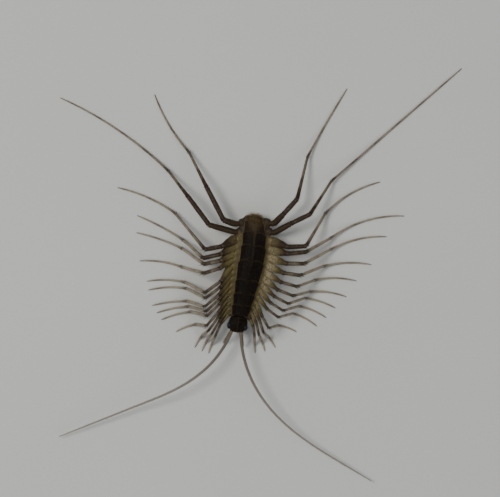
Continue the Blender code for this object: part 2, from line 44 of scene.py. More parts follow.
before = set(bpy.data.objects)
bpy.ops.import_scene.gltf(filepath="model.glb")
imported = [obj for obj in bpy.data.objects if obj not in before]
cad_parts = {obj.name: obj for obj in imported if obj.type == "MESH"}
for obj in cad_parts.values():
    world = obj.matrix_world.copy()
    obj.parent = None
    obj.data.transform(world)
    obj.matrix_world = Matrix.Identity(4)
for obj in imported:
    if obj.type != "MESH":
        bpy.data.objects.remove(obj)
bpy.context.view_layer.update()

import math

import bpy
import numpy as np

MM = 0.001
FULL_TURN = 2 * math.pi
UP = np.array((0.0, 0.0, 1.0))
LEFT = -1
RIGHT = 1
SIDES = {LEFT: "left", RIGHT: "right"}
LEG_PAIRS = 15
LEGS = range(1, LEG_PAIRS + 1)
GAP = 0.3
SEED = 15

# The trunk's middle line seen from above, half its width, and its plates, in mm.
TRUNK_Z = 4.0
TRUNK_FRONT = -10.35
TRUNK_REAR = 13.9
TRUNK_FLATNESS = 0.52
BELLY_FLATNESS = 0.47
AXIS_STATIONS = (-14, -7, 0, 4.5, 9, 14)
AXIS_X = (-0.45, 0.12, 0.62, 0.85, 0.6, -0.1)
WIDTH_STATIONS = (-10.4, -8, -4.5, 0, 3.5, 8, 11, 12.8, 14)
HALF_WIDTHS = (1.95, 2.2, 2.55, 2.95, 3.0, 2.8, 2.4, 1.9, 1.0)
PLATE_EDGES = (-10.2, -8.1, -5.3, -2.0, 2.7, 6.25, 9.3, 11.9, 13.05)
PLATE_OVERLAP = 0.45
PLATE_ARC = math.radians(66)
PLATE_LIFTS = (0.06, 0.34)
PLATE_CORNER = 0.22
PLATE_NOTCH = 0.13
PLATE_NOTCH_DEPTH = 0.36
PLATE_NOTCH_WIDTH = 0.16
PLATE_GRID = (56, 72)
PLATE_FRINGE = 60
PLATE_EDGE_HAIRS = 70
PLATE_SCATTER = 260

# Relief of a back plate: the middle and width of each form, as shares of the plate, and
# its height in mm.
REAR_RIM = (0.965, 0.022)
SIDE_RIM = (0.965, 0.025)
RIM_HEIGHT = 0.055
EDGE_ROLL = 0.09
SADDLE_HEIGHT = 0.06
PORE_DEPTH = 0.1
KEEL = (0.52, 0.05)
KEEL_HEIGHT = 0.035

# The core under the plates, the soft roll along each flank, where the painted light on
# the right flank is strongest, the fineness of the fused skin, and the belly plates.
CORE_FRONT = TRUNK_FRONT - 0.15
CORE_REAR = TRUNK_REAR - 0.45
FLANK_STATIONS = (-9.6, -5, 0, 7.5, 9.8, 12.2, 13.4)
FLANK_REACHES = (0.4, 0.75, 1.0, 1.05, 1.15, 1.2, 0.7)
FLANK_LEVEL = -0.12
PAINTED_LIGHT_AT = 2.0
PAINTED_LIGHT_LENGTH = 5.5
SKIN_VOXEL = 0.088
BELLY_ARC = math.radians(38)
BELLY_LIFT = 0.12
BELLY_THICKNESS = 0.1
BELLY_ENDS = (0.55, 0.85)

# Hips, and the stance of each leg, read at key legs and blended between them.
HIP_Z = 3.5
FIRST_HIP = -9.85
THIRTEENTH_HIP = 8.1
FRONT_HIPS = 13
FRONT_PITCH = 1.28
LAST_PITCH = 1.95
HIP_LEGS = (1, 5, 9, 13, 15)
HIP_REACHES = (0.45, 0.85, 1.0, 1.0, 0.9)
HIP_TURNS = (-40, -36, -26, -10, -8)
HIP_RISE = 0.35
HIP_SUNK = 0.15
KEY_LEGS = (1, 3, 4, 5, 7, 8, 9, 10, 11, 12, 13, 14, 15)
STANCE = {
    LEFT: {
        "knee_heading": (-65, -60, -58, -54, -54, -52, -52, -33, -28, -28, -26, 26, 38),
        "knee_reach": (6.2, 8.2, 8.6, 7.9, 9.0, 8.7, 9.1, 7.9, 7.9, 8.3, 8.0, 14.4, 11.5),
        "knee_rise": (0.4, 2.3, 2.8, 2.7, 2.7, 2.6, 2.6, 2.6, 2.5, 2.5, 2.4, 2.2, 2.0),
        "elbow": (-8, -2, 1, 2, 5, 7, 8, 8, 8, 7, 7, 22, 36),
        "shin_heading": (-76, -46, -3, 5, 8, 18, 18, 7, 27, 33, 42, 44, 55),
        "shin_length": (1.5, 1.9, 2.5, 4.0, 4.5, 5.1, 5.4, 5.4, 6.3, 6.4, 11.1, 7.8, 9.5),
        "foot_heading": (-74, -60, -20, -16, -10, 0, 4, 12, 18, 26, 28, 36, 40),
        "tip_heading": (-83, -74, -38, -32, -22, -22, -18, -12, 4, 14, 4, 16, 62),
        "foot_length": (2.9, 3.4, 5.0, 7.2, 8.2, 9.0, 9.0, 10.2, 11.5, 12.2, 15.0, 31.0, 16.0),
    },
    RIGHT: {
        "knee_heading": (-66, -60, -55, -36, -27, -22, -16, -9, -2, 4, 0, 32, 48),
        "knee_reach": (4.2, 6.0, 6.5, 6.5, 7.3, 7.7, 7.8, 7.8, 8.2, 8.3, 8.3, 10.2, 8.8),
        "knee_rise": (0.5, 2.3, 2.9, 2.9, 2.8, 2.8, 2.8, 2.8, 2.7, 2.6, 2.5, 2.3, 2.1),
        "elbow": (-10, -4, 2, 8, 8, 9, 9, 9, 10, 10, 11, 2, 10),
        "shin_heading": (-82, -37, 20, 20, 25, 21, 27, 29, 36, 37, 67, 65, 84),
        "shin_length": (1.5, 1.7, 2.3, 3.6, 4.2, 4.1, 4.5, 6.0, 7.2, 6.7, 9.1, 9.5, 10.4),
        "foot_heading": (-76, -44, 0, -8, 0, 12, 20, 22, 36, 44, 54, 49, 70),
        "tip_heading": (-80, -54, -22, -32, -20, -12, -6, -2, 6, 6, 22, 49, 66),
        "foot_length": (2.6, 3.0, 4.6, 6.4, 7.6, 8.8, 9.9, 11.3, 13.6, 18.5, 15.0, 40.6, 18.5),
    },
}
THIGH_SHARE_LEGS = (14, 15)
THIGH_SHARES = {LEFT: (0.5, 0.36), RIGHT: (0.5, 0.45)}
THIGH_RISE = 0.94
THIGH_LIFT = 0.15
ANKLE_Z = 1.5
FOOT_DESCENT = 0.45
FOOT_PIECES = 80
HIP_LENGTH_LEGS = (1, 3, 13, 15)
HIP_LENGTHS = (0.5, 0.85, 0.85, 1.4)
BEND_WINDOWS = (0.5, 0.5, 0.5, 1.1)

# A coxa from its root inside the trunk to the leg's first ring, as shares of its widest
# part, and its half width and half height at the hip's key legs, in mm.
COXA_AT = (0, 0.3, 0.5, 0.68, 0.82, 0.9, 0.95, 1)
COXA_SHAPE = (0.55, 0.85, 1.0, 1.02, 0.98, 0.9, 0.84, 0.66)
COXA_BREADTHS = (0.56, 0.68, 0.86, 0.98, 1.14)
COXA_HEIGHTS = (0.66, 0.74, 0.82, 0.95, 1.05)
COXA_DEPTH = 1.3
COXA_PROUD = 0.75

# A leg's path is counted in joints: 0 in the coxa, 1 hip bend, 2 end of the
# prefemur, 3 knee, 4 ankle, 5 tip. Radii and markings are read at these counts.
LEG_RADIUS_AT = (0, 0.9, 1.15, 1.55, 1.9, 2.1, 2.5, 2.95, 3.1, 3.4, 4, 4.15, 4.6, 4.9, 5)
LEG_RADII = (0.4, 0.48, 0.52, 0.53, 0.47, 0.42, 0.44, 0.39, 0.345, 0.34, 0.295,
             0.25, 0.205, 0.155, 0.085)
LEG_TONE_AT = (0, 1.15, 1.35, 1.5, 1.65, 1.8, 2.0, 2.3, 2.42, 2.52, 2.62, 2.9, 3.02,
               3.1, 3.3, 3.38, 3.5, 3.58, 3.8, 3.88, 4.0, 4.03, 5)
LEG_TONES = (0.0, 0.05, 0.12, 0.3, 0.5, 0.72, 0.84, 0.78, 0.7, 0.7, 0.85, 0.95, 0.9,
             0.4, 0.2, 0.35, 0.35, 0.15, 0.2, 0.3, 0.35, 0.15, 0.1)
SLIM_LEGS = (1, 7, 9, 11, 13, 15)
SLIM_FACTORS = (0.74, 0.8, 0.95, 1.2, 1.32, 1.45)
SPREAD_LEGS = (1, 4, 7, 13.2, 14)
PREFEMUR_SPREADS = (0.05, 0.2, 0.75, 0.8, 0.0)
DARK_LEGS = (11.5, 14)

# A leg's ribs, the points and swells of one ring of its foot, and its joints.
LEG_SIDES = 15
LEG_RIDGES = 5
RIDGE_HEIGHT = 0.11
RING_STATIONS = np.array((0.02, 0.16, 0.55, 0.9))
RING_SWELLS = (0.86, 0.97, 1.02, 1.08)
FOOT_BAND_LENGTH = 7.0
JOINT_SWELLS = (0.35, 1.0, 1.0, 1.0)
JOINT_SOFTNESS = (0.15, 0.5, 0.6, 0.6)

# A collar before each joint, a soft neck on it and a knob after it: the height of each
# as a share of the radius, and its place and width in mm.
JOINT_FORMS = ((0.16, -0.24, 0.15), (-0.26, 0.08, 0.12), (0.1, 0.36, 0.14))

# Spines at the end of the prefemur, the knee and the ankle: how stout they are there,
# and the angle, length and place along the leg of each in its fan. Bristles stand
# between them.
SPINE_LEGS = (1, 4, 8)
SPINE_FACTORS = (0.5, 0.8, 1.0)
SPINE_LEAN = math.radians(42)
SPINE_RADIUS = 0.115
SPINE_STOUTNESS = (1.0, 1.0, 0.75)
SPINE_FAN = ((70, 1.0, -0.1), (110, 0.88, -0.1), (20, 0.6, -0.22), (160, 0.6, -0.22),
             (-35, 0.5, -0.27), (215, 0.5, -0.27))
BRISTLE_ROWS = 5
UPPER_BRISTLE_PITCH = 0.24
FOOT_BRISTLE_PITCH = 0.28
FOOT_BRISTLE_ANGLES = np.radians((-60, -120, 15, 165, 90))
FOOT_BRISTLE_LENGTHS = (0.5, 0.5, 0.8, 0.8, 0.8)
FINE_BRISTLE = 0.014
LEG_BRISTLE = 0.017

# Head and what grows from it, in mm, sideways from the trunk's middle line.
HEAD_AT = (0.0, -12.05, 4.35)
HEAD_SIZE = (2.15, 2.0, 1.2)
COLLAR_Y = -10.75
HEAD_HAIRS = 700
LIP_AT = (0.0, -13.65, 3.85)
LIP_SIZE = (1.1, 0.6, 0.5)
JAW_AT = (0.7, -12.9, 3.6)
JAW_SIZE = (0.6, 0.9, 0.5)
EYE_AT = (1.85, -12.7, 4.45)
EYE_SIZE = (0.56, 0.84, 0.66)
FACET_HEIGHT = 0.035
FACET_BREADTH = 0.62
SOCKET_AT = (0.95, -13.2, 4.7)
SOCKET_LENGTH = 0.75
ANTENNA_LENGTH = 49.0
ANTENNA_PIECES = 34
ANTENNA_START = {LEFT: math.radians(13), RIGHT: math.radians(9)}
ANTENNA_END = {LEFT: math.radians(60), RIGHT: math.radians(67)}
ANTENNA_TURN = {LEFT: 28.0, RIGHT: 41.0}
ANTENNA_ARCH = 1.4
ANTENNA_ARCH_SHARE = 0.6
ANTENNA_DROP = 3.3

# A feeler's radii at shares of its length, and the points, swells and grooves of one ring.
WHIP_PITCH = 0.26
WHIP_AT = (0, 0.03, 0.05, 0.12, 0.5, 0.85, 1.0)
WHIP_RADII = (0.44, 0.42, 0.37, 0.35, 0.26, 0.18, 0.09)
WHIP_STATIONS = np.array((0.02, 0.2, 0.6, 0.9))
WHIP_SWELLS = (0.82, 0.95, 1.02, 1.07)
WHIP_GROOVES = (1.0, 0.3, 0.0, 0.2)

# Claws and palps: their paths, their radii and joints at shares of their length, and what
# stands on them.
CLAW_PATH = ((1.05, -9.5, 3.35), (1.3, -10.45, 2.9), (1.62, -11.3, 2.6),
             (1.75, -12.2, 2.4), (1.35, -13.2, 2.3), (0.45, -13.7, 2.35))
CLAW_PROFILE = ((0, 0.15, 0.35, 0.55, 0.72, 0.9, 1.0), (0.42, 0.46, 0.5, 0.43, 0.34, 0.17, 0.03))
CLAW_JOINTS = (0.22, 0.56, 0.68)
CLAW_SPINES_AT = np.linspace(0.27, 0.52, 6)
CLAW_SPINE_ANGLES = (60, 200)
CLAW_HAIRS = 160
PALP_PATH = ((0.95, -13.2, 3.75), (1.2, -13.8, 3.55), (1.5, -14.7, 3.4),
             (1.85, -15.8, 2.85), (2.2, -16.7, 2.0), (2.35, -17.3, 1.3))
PALP_PROFILE = ((0, 0.2, 0.45, 0.7, 0.93, 1.0), (0.27, 0.27, 0.26, 0.22, 0.15, 0.06))
PALP_JOINTS = (0.2, 0.47, 0.72)
PALP_HAIRS = 260

# The rear end: the last segment, its cap, its claspers and its tuft.
TELSON_AT = (0.0, 13.6, 3.9)
TELSON_SIZE = (1.0, 0.75, 0.65)
TELSON_SHIFT = (0, -0.55, 0)
TAIL_CAP_SIZE = (0.72, 0.62, 0.58)
TAIL_CAP_SHIFT = (0, -0.5, 0.05)
CLASPER_PATH = ((0.3, 13.0, 3.6), (0.4, 13.95, 3.4))
TUFT_AT = (0, 12.45, 3.95)
TUFT_SIZE = (1.5, 1.05, 1.05)
TUFT_HAIRS = 1100

# The photograph's frame: millimetres across it at the height of the back, the
# animal's turn in it, and the spot of the animal's frame at its middle.
PICTURE_WIDTH = 117.45
PICTURE_TURN = math.radians(8.2)
PICTURE_MIDDLE = (0.0, 5.8)
BACK_HEIGHT = 4.5

# Lamps: the place of each from the animal's middle, to the picture's right, its top and
# up, and its size, all in metres; its power in watts and its colour.
LAMPS = {"key": ((-0.3, 0.1, 0.6), 0.26, 3.2, (1.0, 0.98, 0.95)),
         "fill": ((0.5, -0.4, 0.5), 0.6, 1.6, (0.94, 0.97, 1.0))}
SKY_COLOUR = (0.93, 0.96, 1.0, 1.0)
SKY_STRENGTH = 0.45


# Numbers along the body

def spline(stations, values, at):
    """Catmull-Rom curve through the (station, value) pairs, read at every element of at."""
    stations = np.asarray(stations, float)
    values = np.asarray(values, float)
    before = np.maximum(np.arange(len(stations)) - 1, 0)
    after = np.minimum(np.arange(len(stations)) + 1, len(stations) - 1)
    slopes = (values[after] - values[before]) / (stations[after] - stations[before])
    k = np.clip(np.searchsorted(stations, at) - 1, 0, len(stations) - 2)
    span = stations[k + 1] - stations[k]
    t = (at - stations[k]) / span
    return ((2 * t**3 - 3 * t**2 + 1) * values[k] + (t**3 - 2 * t**2 + t) * slopes[k] * span
            + (3 * t**2 - 2 * t**3) * values[k + 1] + (t**3 - t**2) * slopes[k + 1] * span)


def axis_x(y):
    """Sideways place of the trunk's middle line at y."""
    return spline(AXIS_STATIONS, AXIS_X, y)


def half_width(y):
    """Half the trunk's width at y."""
    return spline(WIDTH_STATIONS, HALF_WIDTHS, y)


def beside_axis(side, spot):
    """Point at (sideways, y, z) from the trunk's middle line, on one side."""
    across, y, z = spot
    return np.array((axis_x(y) + side * across, y, z))


def unit(vectors):
    """Vectors scaled to length one along their last axis."""
    length = np.linalg.norm(vectors, axis=-1, keepdims=True)
    return vectors / np.maximum(length, 1e-9)


def hump(values, middle, width):
    """Bell curve, exp(-((x - middle) / width)^2)."""
    return np.exp(-((values - middle) / width) ** 2)


def ease(values, low, high):
    """Smooth step from 0 at low to 1 at high: 3t^2 - 2t^3."""
    t = np.clip((values - low) / (high - low), 0, 1)
    return t * t * (3 - 2 * t)


def ring_angles(count):
    """Angles of points spread evenly round a ring."""
    return FULL_TURN * np.arange(count) / count


def body_shift():
    """Millimetres from the animal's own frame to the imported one, read from the eyes' boxes."""
    corners = [np.array(corner) for name in SIDES.values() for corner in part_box("eye_" + name)]
    own = sum(beside_axis(side, EYE_AT) for side in SIDES) / len(SIDES)
    shift = sum(corners) / len(corners) / MM - own
    shift[2] = 0
    return shift


SHIFT = body_shift()


# Surfaces

class Surface:
    """Points in millimetres, quads, triangles, named numbers for each point, and UV spots."""

    def __init__(self, points, quads, triangles, marks=None, spots=None):
        self.points = np.asarray(points, float).reshape(-1, 3)
        self.quads = np.asarray(quads, int).reshape(-1, 4)
        self.triangles = np.asarray(triangles, int).reshape(-1, 3)
        self.marks = marks or {}
        self.spots = spots

    def faces(self):
        """Corners of every face."""
        return self.quads.tolist() + self.triangles.tolist()


def joined(surfaces):
    """Several surfaces as one; a mark that one of them lacks is zero there."""
    starts = np.cumsum([0] + [len(s.points) for s in surfaces])
    names = sorted({name for s in surfaces for name in s.marks})
    marks = {name: np.concatenate([s.marks.get(name, np.zeros(len(s.points)))
                                   for s in surfaces]) for name in names}
    spots = None
    if surfaces[0].spots is not None:
        spots = np.concatenate([s.spots for s in surfaces])
    return Surface(np.concatenate([s.points for s in surfaces]),
                   np.concatenate([s.quads + start for s, start in zip(surfaces, starts)]),
                   np.concatenate([s.triangles + start for s, start in zip(surfaces, starts)]),
                   marks, spots)


def grid_quads(rows, columns, closed):
    """Corners of the quads of a grid; closed joins the last column to the first."""
    i, j = np.meshgrid(np.arange(rows - 1), np.arange(columns if closed else columns - 1),
                       indexing="ij")
    k = (j + 1) % columns
    quads = [i * columns + j, i * columns + k, (i + 1) * columns + k, (i + 1) * columns + j]
    return np.stack(quads, -1).reshape(-1, 4)


def closed_rings(rings, start, end, **marks):
    """Rings of points as a closed tube, with a fan from each end ring to its end point."""
    rows, columns = rings.shape[:2]
    here = np.arange(columns)
    after = (here + 1) % columns
    last = (rows - 1) * columns
    first_fan = np.stack([np.full(columns, rows * columns), after, here], -1)
    last_fan = np.stack([np.full(columns, rows * columns + 1), last + here, last + after], -1)
    flat = {}
    for name, values in marks.items():
        whole = np.ones((rows, columns)) * np.reshape(values, (-1, 1))
        flat[name] = np.append(whole.ravel(), (whole[0, 0], whole[-1, 0]))
    return Surface(np.concatenate([rings.reshape(-1, 3), [start, end]]),
                   grid_quads(rows, columns, True), np.concatenate([first_fan, last_fan]), flat)


def blob(centre, sizes, rows=20, columns=28, relief=None, **marks):
    """Ellipsoid P = centre + sizes d (1 + relief(d)), d a unit vector on rings along +Z."""
    fall = math.pi * (np.arange(rows)[:, None] + 1) / (rows + 1)
    turn = ring_angles(columns)
    d = np.stack([np.sin(fall) * np.cos(turn), np.sin(fall) * np.sin(turn),
                  -np.cos(fall) + 0 * turn], -1)
    rings = d * (1 + relief(d))[..., None] if relief else d
    pole = UP * sizes
    return closed_rings(centre + rings * sizes, centre - pole, centre + pole, **marks)


class Line:
    """A path with stations, and at each a centre, a direction, its left side and its up."""

    def __init__(self, stations, centre, forward=None):
        self.stations = stations
        self.centre = centre
        self.forward = unit(np.gradient(centre, axis=0) if forward is None else forward)
        self.side = unit(np.cross(UP, self.forward))
        self.up = np.cross(self.forward, self.side)

    def at(self, stations):
        """The same path with other stations."""
        centre, forward = (np.stack([np.interp(stations, self.stations, column)
                                     for column in kept.T], -1)
                           for kept in (self.centre, self.forward))
        return Line(stations, centre, forward)

    def evenly(self, count):
        """The same path with evenly spread stations."""
        return self.at(np.linspace(0, self.stations[-1], count))

    def outward(self, angle):
        """Directions across the path: cos(angle) side + sin(angle) up at each station."""
        return self.side * np.cos(angle)[..., None] + self.up * np.sin(angle)[..., None]

    def spot(self, station, degrees):
        """Centre, direction and a direction across the path at one station."""
        here = self.at(np.array([station]))
        return here.centre[0], here.forward[0], here.outward(np.radians(degrees))[0]


def straight_line(start, end, count):
    """A straight path with stations from 0 to 1."""
    share = np.linspace(0, 1, count)
    return Line(share, start + (end - start) * share[:, None])


def smooth_line(corners, window, step=0.05):
    """Path along corners, each point averaged over a Hann window so that bends are round,
    and the corners' stations."""
    corners = np.asarray(corners, float)
    marks = np.append(0, np.cumsum(np.linalg.norm(np.diff(corners, axis=0), axis=1)))
    stations = np.arange(0, marks[-1], step)
    count = int(window / step)
    weights = np.hanning(2 * count + 3)[1:-1]
    weights /= weights.sum()
    columns = []
    for column in corners.T:
        dense = np.interp(stations, marks, column)
        head = dense[0] - (dense[count:0:-1] - dense[0])
        tail = dense[-1] - (dense[-2:-count - 2:-1] - dense[-1])
        columns.append(np.convolve(np.concatenate([head, dense, tail]), weights, "valid"))
    return Line(stations, np.stack(columns, -1)), marks


def tube(line, radius, sides, relief=1.0, wide=1.0, tall=1.0, **marks):
    """P(s, a) = C(s) + r(s) relief(s, a) (wide cos a side + tall sin a up), closed at its ends."""
    angle = ring_angles(sides)
    reach = radius[:, None] * relief * np.ones(sides)
    across = reach * np.cos(angle) * np.reshape(wide, (-1, 1))
    rise = reach * np.sin(angle) * np.reshape(tall, (-1, 1))
    rings = (line.centre[:, None] + line.side[:, None] * across[..., None]
             + line.up[:, None] * rise[..., None])
    start = line.centre[0] - line.forward[0] * radius[0] * 0.5
    end = line.centre[-1] + line.forward[-1] * radius[-1] * 0.7
    return closed_rings(rings, start, end, **marks)


def sheet(points, thickness, **marks):
    """A grid of points and its copy a thickness below along the normals, joined at the rim."""
    rows, columns = points.shape[:2]
    normal = unit(np.cross(np.gradient(points, axis=1), np.gradient(points, axis=0)))
    both = np.stack([points, points - normal * thickness])
    top = grid_quads(rows, columns, False)
    under = top[:, ::-1] + rows * columns
    index = np.arange(rows * columns).reshape(rows, columns)
    rim = np.concatenate([index[0], index[1:, -1], index[-1, -2::-1], index[-2:0:-1, 0]])
    after = np.roll(rim, -1)
    wall = np.stack([after, rim, rim + rows * columns, after + rows * columns], -1)
    flat = {name: np.tile(np.broadcast_to(values, (rows, columns)).ravel(), 2)
            for name, values in marks.items()}
    return Surface(both, np.concatenate([top, under, wall]), [], flat)


def bristles(roots, aims, lengths, width, droop, spots, **marks):
    """Tapered hairs P(t, k) = root + L t aim + L t^2 droop + w (1 - 0.6 t) ring(k), with a
    sharp tip; each hair's UV is a patch about 0.003 across at its root's spot."""
    count = len(roots)
    aims = unit(aims)
    askew = unit(droop + aims * 0.3 + np.array((0.31, 0.17, 0.23)))
    first = unit(np.cross(aims, askew))
    second = np.cross(aims, first)
    turn = ring_angles(3)[None, :, None]
    ring = first[:, None] * np.cos(turn) + second[:, None] * np.sin(turn)
    levels = []
    for t in (0.0, 0.55):
        middle = roots + (aims * t + droop * t * t) * lengths[:, None]
        levels.append(middle[:, None] + ring * (width * (1 - 0.6 * t)))
    tip = roots + (aims + droop) * lengths[:, None]
    points = np.concatenate(levels + [tip[:, None]], axis=1)
    base = (np.arange(count) * 7)[:, None, None]
    quads = np.array([[0, 1, 4, 3], [1, 2, 5, 4], [2, 0, 3, 5]]) + base
    triangles = np.array([[3, 4, 6], [4, 5, 6], [5, 3, 6], [2, 1, 0]]) + base
    patch = np.array([(0, 0), (1, 0), (2, 0), (0, 1), (1, 1), (2, 1), (1, 2)]) * 0.0015
    uv = (spots[:, None] + patch).reshape(-1, 2)
    flat = {name: np.repeat(np.broadcast_to(value, count), 7) for name, value in marks.items()}
    return Surface(points, quads, triangles, flat, uv)


def hairs_round(path, station, angle, radius, column, columns, margin=0.05):
    """For hairs round a limb: their roots, the directions along the limb and away from it,
    and their UV spots, in a column of the map in which the limb's root is low."""
    here = path.at(station)
    away = here.outward(angle)
    turn = margin + (1 - 2 * margin) * (angle % FULL_TURN) / FULL_TURN
    rise = 0.02 + 0.94 * station / path.stations[-1]
    spots = np.stack([(column + turn) / columns, rise], -1)
    return here.centre + away * radius[:, None], here.forward, away, spots


def make_piece(name, surface, material, replaced=(), sharp=None):
    """Mesh object from a surface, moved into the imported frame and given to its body."""
    mesh = bpy.data.meshes.new(name)
    mesh.from_pydata((surface.points + SHIFT) * MM, [], surface.faces())
    for mark, values in surface.marks.items():
        layer = mesh.attributes.new(mark, "FLOAT", "POINT")
        layer.data.foreach_set("value", np.ascontiguousarray(values, np.float32))
    if surface.spots is not None:
        corners = np.zeros(len(mesh.loops), np.int32)
        mesh.loops.foreach_get("vertex_index", corners)
        layer = mesh.uv_layers.new(name="OFBake")
        layer.data.foreach_set("uv", surface.spots[corners].astype(np.float32).ravel())
    mesh.shade_smooth()
    if sharp:
        mesh.set_sharp_from_angle(angle=math.radians(sharp))
    mesh.materials.append(material)
    piece = bpy.data.objects.new(name, mesh)
    bpy.context.scene.collection.objects.link(piece)
    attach(piece, "root")
    if replaced:
        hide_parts(*replaced)


def one_skin(surfaces, voxel, smoothing):
    """Overlapping closed surfaces fused into one by a voxel remesh, done in millimetres."""
    whole = joined(surfaces)
    mesh = bpy.data.meshes.new("skin_source")
    mesh.from_pydata(whole.points, [], whole.faces())
    source = bpy.data.objects.new("skin_source", mesh)
    bpy.context.scene.collection.objects.link(source)
    remesh = source.modifiers.new("remesh", "REMESH")
    remesh.mode = "VOXEL"
    remesh.voxel_size = voxel
    relax = source.modifiers.new("relax", "SMOOTH")
    relax.factor = 0.5
    relax.iterations = smoothing
    bpy.context.view_layer.update()
    shown = source.evaluated_get(bpy.context.evaluated_depsgraph_get())
    fused = bpy.data.meshes.new_from_object(shown)
    points = np.zeros(len(fused.vertices) * 3)
    fused.vertices.foreach_get("co", points)
    corners = np.zeros(len(fused.loops), np.int32)
    fused.loops.foreach_get("vertex_index", corners)
    bpy.data.objects.remove(source, do_unlink=True)
    bpy.data.meshes.remove(mesh)
    bpy.data.meshes.remove(fused)
    return Surface(points, corners, [])


# Where legs, feelers and limbs run

def hip_y(leg):
    """Hips one to thirteen spread with a steadily growing pitch, then two wider steps."""
    steps = min(leg, FRONT_HIPS) - 1
    count = FRONT_HIPS - 1
    growth = (THIRTEENTH_HIP - FIRST_HIP - count * FRONT_PITCH) / (count**2 / 2)
    y = FIRST_HIP + FRONT_PITCH * steps + growth * steps**2 / 2
    return y + max(leg - FRONT_HIPS, 0) * LAST_PITCH


def hip_count(y):
    """Hips passed at y: whole numbers at the hips, and halves midway between them."""
    hips = [hip_y(leg) for leg in LEGS]
    return np.interp(y, hips, np.arange(LEG_PAIRS), left=-0.5, right=LEG_PAIRS - 0.5)


def hip(side, leg):
    """End of the hip stub on the trunk, and the way it points."""
    y = hip_y(leg)
    slope = (axis_x(y + 0.05) - axis_x(y - 0.05)) / 0.1
    level = unit(np.array((1.0, -slope, 0.0))) * side
    turn = math.radians(side * np.interp(leg, HIP_LEGS, HIP_TURNS))
    aim = np.array((level[0] * math.cos(turn) - level[1] * math.sin(turn),
                    level[0] * math.sin(turn) + level[1] * math.cos(turn), 0.0))
    flank = np.array((axis_x(y), y, HIP_Z)) + level * (half_width(y) - HIP_SUNK)
    return flank + aim * np.interp(leg, HIP_LEGS, HIP_REACHES), unit(aim + UP * HIP_RISE)


def stride(side, heading, reach, rise):
    """Step between joints: a heading in degrees from straight out, a level reach and a rise."""
    turn = math.radians(heading)
    return np.array((side * math.cos(turn) * reach, math.sin(turn) * reach, rise))


def leg_line(side, leg):
    """The path of a leg from inside its coxa to its tip, and the stations of its joints."""
    stance = {name: float(np.interp(leg, KEY_LEGS, values))
              for name, values in STANCE[side].items()}
    stub, facing = hip(side, leg)
    root = stub + facing * GAP
    bend = root + facing * np.interp(leg, HIP_LENGTH_LEGS, HIP_LENGTHS)
    reach = stance["knee_reach"]
    rise = stance["knee_rise"]
    knee = root + stride(side, stance["knee_heading"], reach, rise)
    thigh_reach = reach * np.interp(leg, THIGH_SHARE_LEGS, THIGH_SHARES[side])
    thigh = root + stride(side, stance["knee_heading"] - stance["elbow"], thigh_reach,
                          rise * THIGH_RISE + THIGH_LIFT)
    ankle = knee + stride(side, stance["shin_heading"], stance["shin_length"],
                          ANKLE_Z - knee[2])
    share = (np.arange(FOOT_PIECES) + 1) / FOOT_PIECES
    turn = stance["tip_heading"] - stance["foot_heading"]
    heading = np.radians(stance["foot_heading"] + turn * (share - 0.5 / FOOT_PIECES))
    piece = stance["foot_length"] / FOOT_PIECES
    height = spline(LEG_RADIUS_AT, LEG_RADII, 4 + share)
    fall = np.maximum(0, 1 - share / FOOT_DESCENT) ** 1.5
    foot = np.stack([ankle[0] + side * np.cumsum(np.cos(heading)) * piece,
                     ankle[1] + np.cumsum(np.sin(heading)) * piece,
                     height + (ANKLE_Z - height) * fall], -1)
    corners = np.concatenate([[stub - facing * 0.5, bend, thigh, knee, ankle], foot])
    line, marks = smooth_line(corners, np.interp(leg, HIP_LENGTH_LEGS, BEND_WINDOWS))
    return line, np.append(marks[:5], line.stations[-1])


def antenna_line(side):
    """The path of a feeler, as its solid's, made smooth."""
    def aim(distance):
        turned = np.sin(math.pi / 2 * np.minimum(distance / ANTENNA_TURN[side], 1.0))
        angle = ANTENNA_START[side] + (ANTENNA_END[side] - ANTENNA_START[side]) * turned
        return np.stack([side * np.sin(angle), -np.cos(angle), angle * 0], -1)

    step = ANTENNA_LENGTH / ANTENNA_PIECES
    brow = beside_axis(side, SOCKET_AT)
    root = brow + aim(np.array(0.0)) * (SOCKET_LENGTH + GAP)
    share = (np.arange(ANTENNA_PIECES) + 1) / ANTENNA_PIECES
    points = root + np.cumsum(aim((np.arange(ANTENNA_PIECES) + 0.5) * step), axis=0) * step
    arch = ANTENNA_ARCH * np.sin(math.pi * np.minimum(share / ANTENNA_ARCH_SHARE, 1.0))
    points[:, 2] = root[2] + arch - ANTENNA_DROP * share**1.8
    return smooth_line([brow, *points], 1.2)[0]


def limb_line(side, path):
    """Path of a claw or palp: a Catmull-Rom curve through its solid's points."""
    corners = np.array([beside_axis(side, spot) for spot in path])
    along = np.arange(len(corners))
    at = np.linspace(0, len(corners) - 1, 120)
    dense = np.stack([spline(along, column, at) for column in corners.T], -1)
    return smooth_line(dense, 0.1, step=0.03)[0]


# Materials

